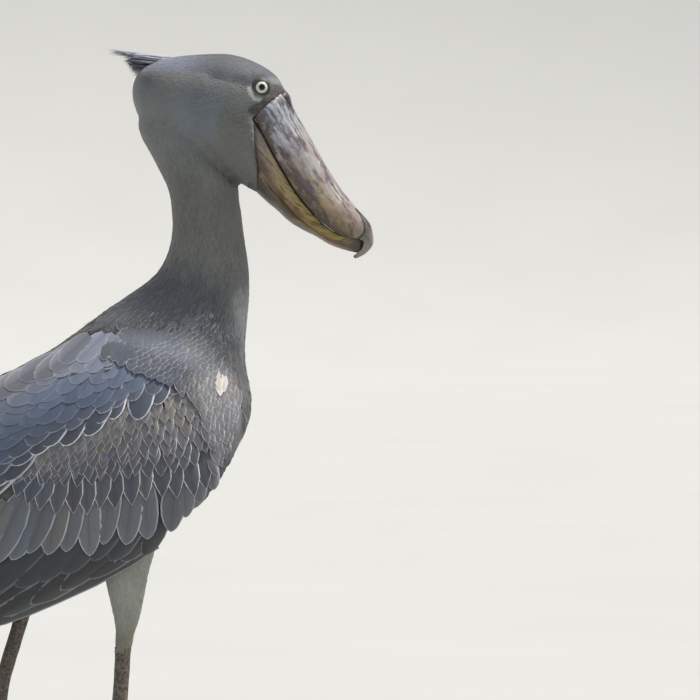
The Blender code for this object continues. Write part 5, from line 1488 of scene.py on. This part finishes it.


# Eyelid: bare, finely creased dark skin, softly greasy. The crests of its folds are painted lighter and the dips
# darker as painted shade, and it is darker towards the eye.
def lidSkin():
    material, tree, shader = startMaterial("lidSkin", Roughness=0.5)
    crease = addNode(tree, "ShaderNodeAttribute", attribute_name="crease").outputs["Fac"]
    where = addNode(tree, "ShaderNodeTexCoord").outputs["Object"]
    fine = addNode(tree, "ShaderNodeTexNoise",
                   {"Vector": where, "Scale": 900.0, "Detail": 2.0}).outputs["Fac"]
    base = addNode(tree, "ShaderNodeMix", {0: crease, 6: "#191512", 7: "#4c443f"},
                   data_type="RGBA").outputs[2]
    bump = addNode(tree, "ShaderNodeBump", {"Height": fine, "Strength": 0.4, "Distance": 0.0003})
    tree.links.new(base, shader.inputs["Base Color"])
    tree.links.new(bump.outputs["Normal"], shader.inputs["Normal"])
    return material


def setEyes():
    wet, creased = wetEye(), lidSkin()
    for name, side in (("right", -1), ("left", 1)):
        centre, axis, ahead, up = roundFrame(side)
        polar = np.linspace(0.02, math.pi - 0.02, 60)[:, None]
        turn = fullTurn(72)
        radius = eye["radius"] + eye["swell"] * np.exp(-((polar / 0.62) ** 4))
        way = ahead * np.cos(turn)[..., None] + up * np.sin(turn)[..., None]
        flat = (radius * np.sin(polar))[..., None] * way
        grid = centre - axis * eye["sink"] + flat + axis * (radius * np.cos(polar) + 0 * turn)[..., None]
        out = np.where(polar < math.pi / 2, radius * np.sin(polar) * 1000, 12.0) + 0 * turn
        ball = loftMesh(f"eyeball_{name}", grid, {"out": out, "spoke": turn + 0 * polar})
        finishPiece(ball, wet, f"eye_{name}", slot="eye")
        section = rowAt(eye["lid"], np.linspace(0, len(eye["lid"]) - 1, 43))
        head = centre + axis * (math.sqrt(eye["radius"] ** 2 - eye["opening"] ** 2) - 0.0016)
        around = fullTurn(120).T
        r, h = section[None, :, 0], section[None, :, 1]
        hood = np.sin(around)    # 1 above, -1 below
        mid = np.exp(-((r - 9.2) / 1.8) ** 2)
        folds = 0.16 * np.sin(r * 5.2 + 0.9 * np.sin(2 * around)) + 0.14 * np.sin(around * 23 + r * 1.4)
        folds = folds + 0.08 * np.sin(around * 41 - r)
        h = h + mid * (folds + 0.5 * np.clip(hood, 0, 1)) - 0.35 * (1 - mid) * np.clip(-hood, 0, 1)
        r = r * (1 + 0.05 * np.cos(around) * (r > 9) + 0.03 * np.cos(2 * around) * (r > 8)) + 0.05 * folds
        way = ahead * np.cos(around)[..., None] + up * np.sin(around)[..., None]
        grid = head + way * (r * 0.001)[..., None] + axis * (h * 0.001)[..., None]
        # painted shade: darker in the dips of the folds, lighter on their crests; also darker towards the eye
        crease = np.clip(0.35 + 2.2 * folds * mid + 0.3 * ease(9.5, 12, r), 0, 1) + 0 * around
        lid = ringMesh(f"lids_{name}", grid, crease)
        finishPiece(lid, creased, slot="skin")


def ringMesh(name, grid, crease):    # a closed ring: the section runs round both ways
    rows, ring = grid.shape[:2]
    index = np.arange(rows * ring).reshape(rows, ring)
    after = np.roll(index, -1, 0)
    quads = np.stack([index, np.roll(index, -1, 1), np.roll(after, -1, 1), after], -1).reshape(-1, 4)
    points = grid.reshape(-1, 3)
    if signedVolume(points - points.mean(0), quads) < 0:
        quads = quads[:, ::-1]
    mesh = bpy.data.meshes.new(name)
    mesh.from_pydata(points.tolist(), [], quads.tolist())
    paint = mesh.attributes.new("crease", "FLOAT", "POINT")
    paint.data.foreach_set("value", crease.ravel().astype(np.float32))
    return stand(name, mesh)


print("eyes")
setEyes()


# Leg skin is dry, hard and pebbled: dark plates with chalky lines between them.
def pebbledSkin():
    material, tree, shader = startMaterial("pebbledSkin", Roughness=0.6)
    plate = addNode(tree, "ShaderNodeAttribute", attribute_name="plate").outputs["Fac"]
    where = addNode(tree, "ShaderNodeTexCoord").outputs["Object"]
    cloud = addNode(tree, "ShaderNodeTexNoise",
                    {"Vector": where, "Scale": 240.0, "Detail": 4.0, "Roughness": 0.6}).outputs["Fac"]
    blotch = addNode(tree, "ShaderNodeMapRange",
                     {"Value": cloud, "From Min": 0.38, "From Max": 0.62}).outputs[0]
    fine = addNode(tree, "ShaderNodeTexNoise",
                   {"Vector": where, "Scale": 900.0, "Detail": 2.0}).outputs["Fac"]
    base = addNode(tree, "ShaderNodeMix", {0: blotch, 6: "#352f2b", 7: "#6a6155"},
                   data_type="RGBA").outputs[2]
    joint = addNode(tree, "ShaderNodeMapRange",
                    {"Value": plate, "From Min": 0.35, "From Max": 0.0, "To Max": 0.85}).outputs[0]
    colour = addNode(tree, "ShaderNodeMix", {0: joint, 6: base, 7: "#8b8474"}, data_type="RGBA").outputs[2]
    bump = addNode(tree, "ShaderNodeBump", {"Height": fine, "Strength": 0.25, "Distance": 0.0003})
    tree.links.new(colour, shader.inputs["Base Color"])
    tree.links.new(bump.outputs["Normal"], shader.inputs["Normal"])
    return material


def pebbles(around, along, size):    # 1 on rounded plates in staggered rows, 0 in the joints
    tall = size * 1.732
    best = np.full(np.broadcast(around, along).shape, 9.0)
    for shift in (0.0, 0.5):
        u = (around / size + shift) % 1 - 0.5
        v = (along / tall + shift) % 1 - 0.5
        best = np.minimum(best, np.hypot(u * size, v * tall) / size)
    return ease(0.60, 0.40, best)


scales = {"leg": 0.0046, "toe": 0.0036, "height": 0.00032, "scute": 0.0052}


def bareLeg(name, side, material):
    rows = legs[name]["bare"]
    places, turn = np.linspace(0, 10, 300)[:, None], fullTurn(56)
    grid = legSurface(rows, places, turn, side)
    height = rowAt(rows, places)[..., 1] * 0.001
    girth = 12 * scales["leg"]
    plate = pebbles(turn / (2 * math.pi) * girth, height + 0 * turn, scales["leg"])
    normal = np.stack([np.cos(turn) + 0 * places, np.sin(turn) + 0 * places, 0 * places + 0 * turn], -1)
    push = (plate - 0.5) * scales["height"] * 1.6 + 0.0003 * noiseAt(grid, 14)
    grid = grid + normal * push[..., None]
    item = loftMesh(f"bareLeg_{name}", grid, {"plate": plate})
    finishPiece(item, material, f"shank_{name}", f"tarsus_{name}", slot="skin")


feet = {
    "pad": [(0, 15, 15), (5, 19, 19), (13, 17.5, 17.5), (23, 13.5, 14), (33, 11.4, 11.9)],
    "toes": [("middle", 2, 146, 9.0, 5.6, 4), ("inner", 33, 116, 8.6, 5.4, 3),
             ("outer", -30, 124, 8.6, 5.4, 4), ("hind", 172, 70, 8.2, 5.4, 2)],
    "claw": 0.021, "clawDrop": 0.0036,
}


def tubeGrid(middle, run, wide, high, turn):    # rings round a line of points, flat where they meet the floor
    across = np.array([-run[1], run[0], 0])
    grid = middle + across * (wide * np.cos(turn))[..., None] + upward * (high * np.sin(turn))[..., None]
    grid[..., 2] = np.maximum(grid[..., 2], 0.0)
    return grid


def toeGrid(centre, run, length, thick, thin, joints):
    share = np.linspace(0, 1, int(length / 0.9))[:, None]
    turn = fullTurn(40)
    knuckle = 1 + 0.10 * np.cos(2 * math.pi * (joints * share - 0.1)) * (share > 0.1) * (share < 0.97)
    radius = (thick + (thin - thick) * share) * 0.001 * knuckle * (1 - 0.25 * ease(0.97, 1.0, share))
    along = share * length * 0.001
    top = ease(0.35, 0.75, np.sin(turn))
    saw = (along / scales["scute"]) % 1
    scute = ease(0.0, 0.18, saw) * (1 - 0.25 * saw)
    pebble = pebbles(turn / (2 * math.pi) * 12 * scales["toe"], along + 0 * turn, scales["toe"])
    plate = top * scute + (1 - top) * pebble
    size = radius + (plate - 0.6) * scales["height"] * (1 + top)
    middle = centre + run * along[..., None] + upward * (radius * 0.86)[..., None]
    return tubeGrid(middle, run, size, size, turn), plate


def shapeFoot(name, side, skinMaterial, clawMaterial):
    x = legs[name]["ankle"] * 0.001 + forward
    centre = np.array([x, side * legOut(0.033), 0])
    places, turn = np.linspace(0, 4, 60)[:, None], fullTurn(56)
    row = rowAt(feet["pad"], places) * 0.001
    plate = pebbles(turn / (2 * math.pi) * 16 * scales["leg"], row[..., 0] + 0 * turn, scales["leg"])
    size = 1 + (plate - 0.5) * 0.035
    grid = np.stack([centre[0] + row[..., 1] * size * np.cos(turn),
                     centre[1] + row[..., 2] * size * np.sin(turn), row[..., 0] + 0 * turn], -1)
    pieces = [loftMesh(f"foot{name}", grid, {"plate": plate})]
    for toe, degrees, length, thick, thin, joints in feet["toes"]:
        angle = math.radians(degrees)
        run = np.array([math.cos(angle), -side * math.sin(angle), 0])
        grid, plate = toeGrid(centre, run, length, thick, thin, joints)
        pieces.append(loftMesh("toe", grid, {"plate": plate}))
        claw = clawMesh(f"claw_{toe}_{name}_horn", centre + run * (length * 0.001 - 0.001), run, thin * 0.001)
        finishPiece(claw, clawMaterial, f"claw_{toe}_{name}", slot="claw")
    foot = joinInto(pieces[0], pieces[1:])
    foot.name = f"footSkin_{name}"
    finishPiece(foot, skinMaterial, f"foot_{name}", slot="skin")


def clawMesh(name, start, run, thick):
    share, turn = np.linspace(0, 1, 28)[:, None], fullTurn(28)
    radius = thick * (0.86 - 0.80 * share**1.3)
    height = np.maximum(thick * 0.86 - feet["clawDrop"] * share**2, radius * 0.9)
    middle = start + run * ((feet["claw"] + 0.0013) * share)[..., None] + upward * height[..., None]
    return loftMesh(name, tubeGrid(middle, run, radius * 0.9, radius, turn))


# Claw: solid dark keratin, worn to a dull gloss, paler where it is scratched.
def wornClaw():
    material, tree, shader = startMaterial("wornClaw", **{"Roughness": 0.35, "Coat Weight": 0.1})
    where = addNode(tree, "ShaderNodeTexCoord").outputs["Object"]
    worn = addNode(tree, "ShaderNodeTexNoise",
                   {"Vector": where, "Scale": 400.0, "Detail": 4.0}).outputs["Fac"]
    colour = addNode(tree, "ShaderNodeMix", {0: worn, 6: "#15120f", 7: "#4a4138"},
                     data_type="RGBA").outputs[2]
    bump = addNode(tree, "ShaderNodeBump", {"Height": worn, "Strength": 0.2, "Distance": 0.0003})
    tree.links.new(colour, shader.inputs["Base Color"])
    tree.links.new(bump.outputs["Normal"], shader.inputs["Normal"])
    return material


print("legs and feet")
legSkin, clawHorn = pebbledSkin(), wornClaw()
for name, side in (("right", -1), ("left", 1)):
    bareLeg(name, side, legSkin)
    shapeFoot(name, side, legSkin, clawHorn)

meshes = [item.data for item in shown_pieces() if item.type == "MESH"]
triangles = sum(sum(p.loop_total - 2 for p in mesh.polygons) for mesh in meshes)
print(f"all: {triangles} triangles")
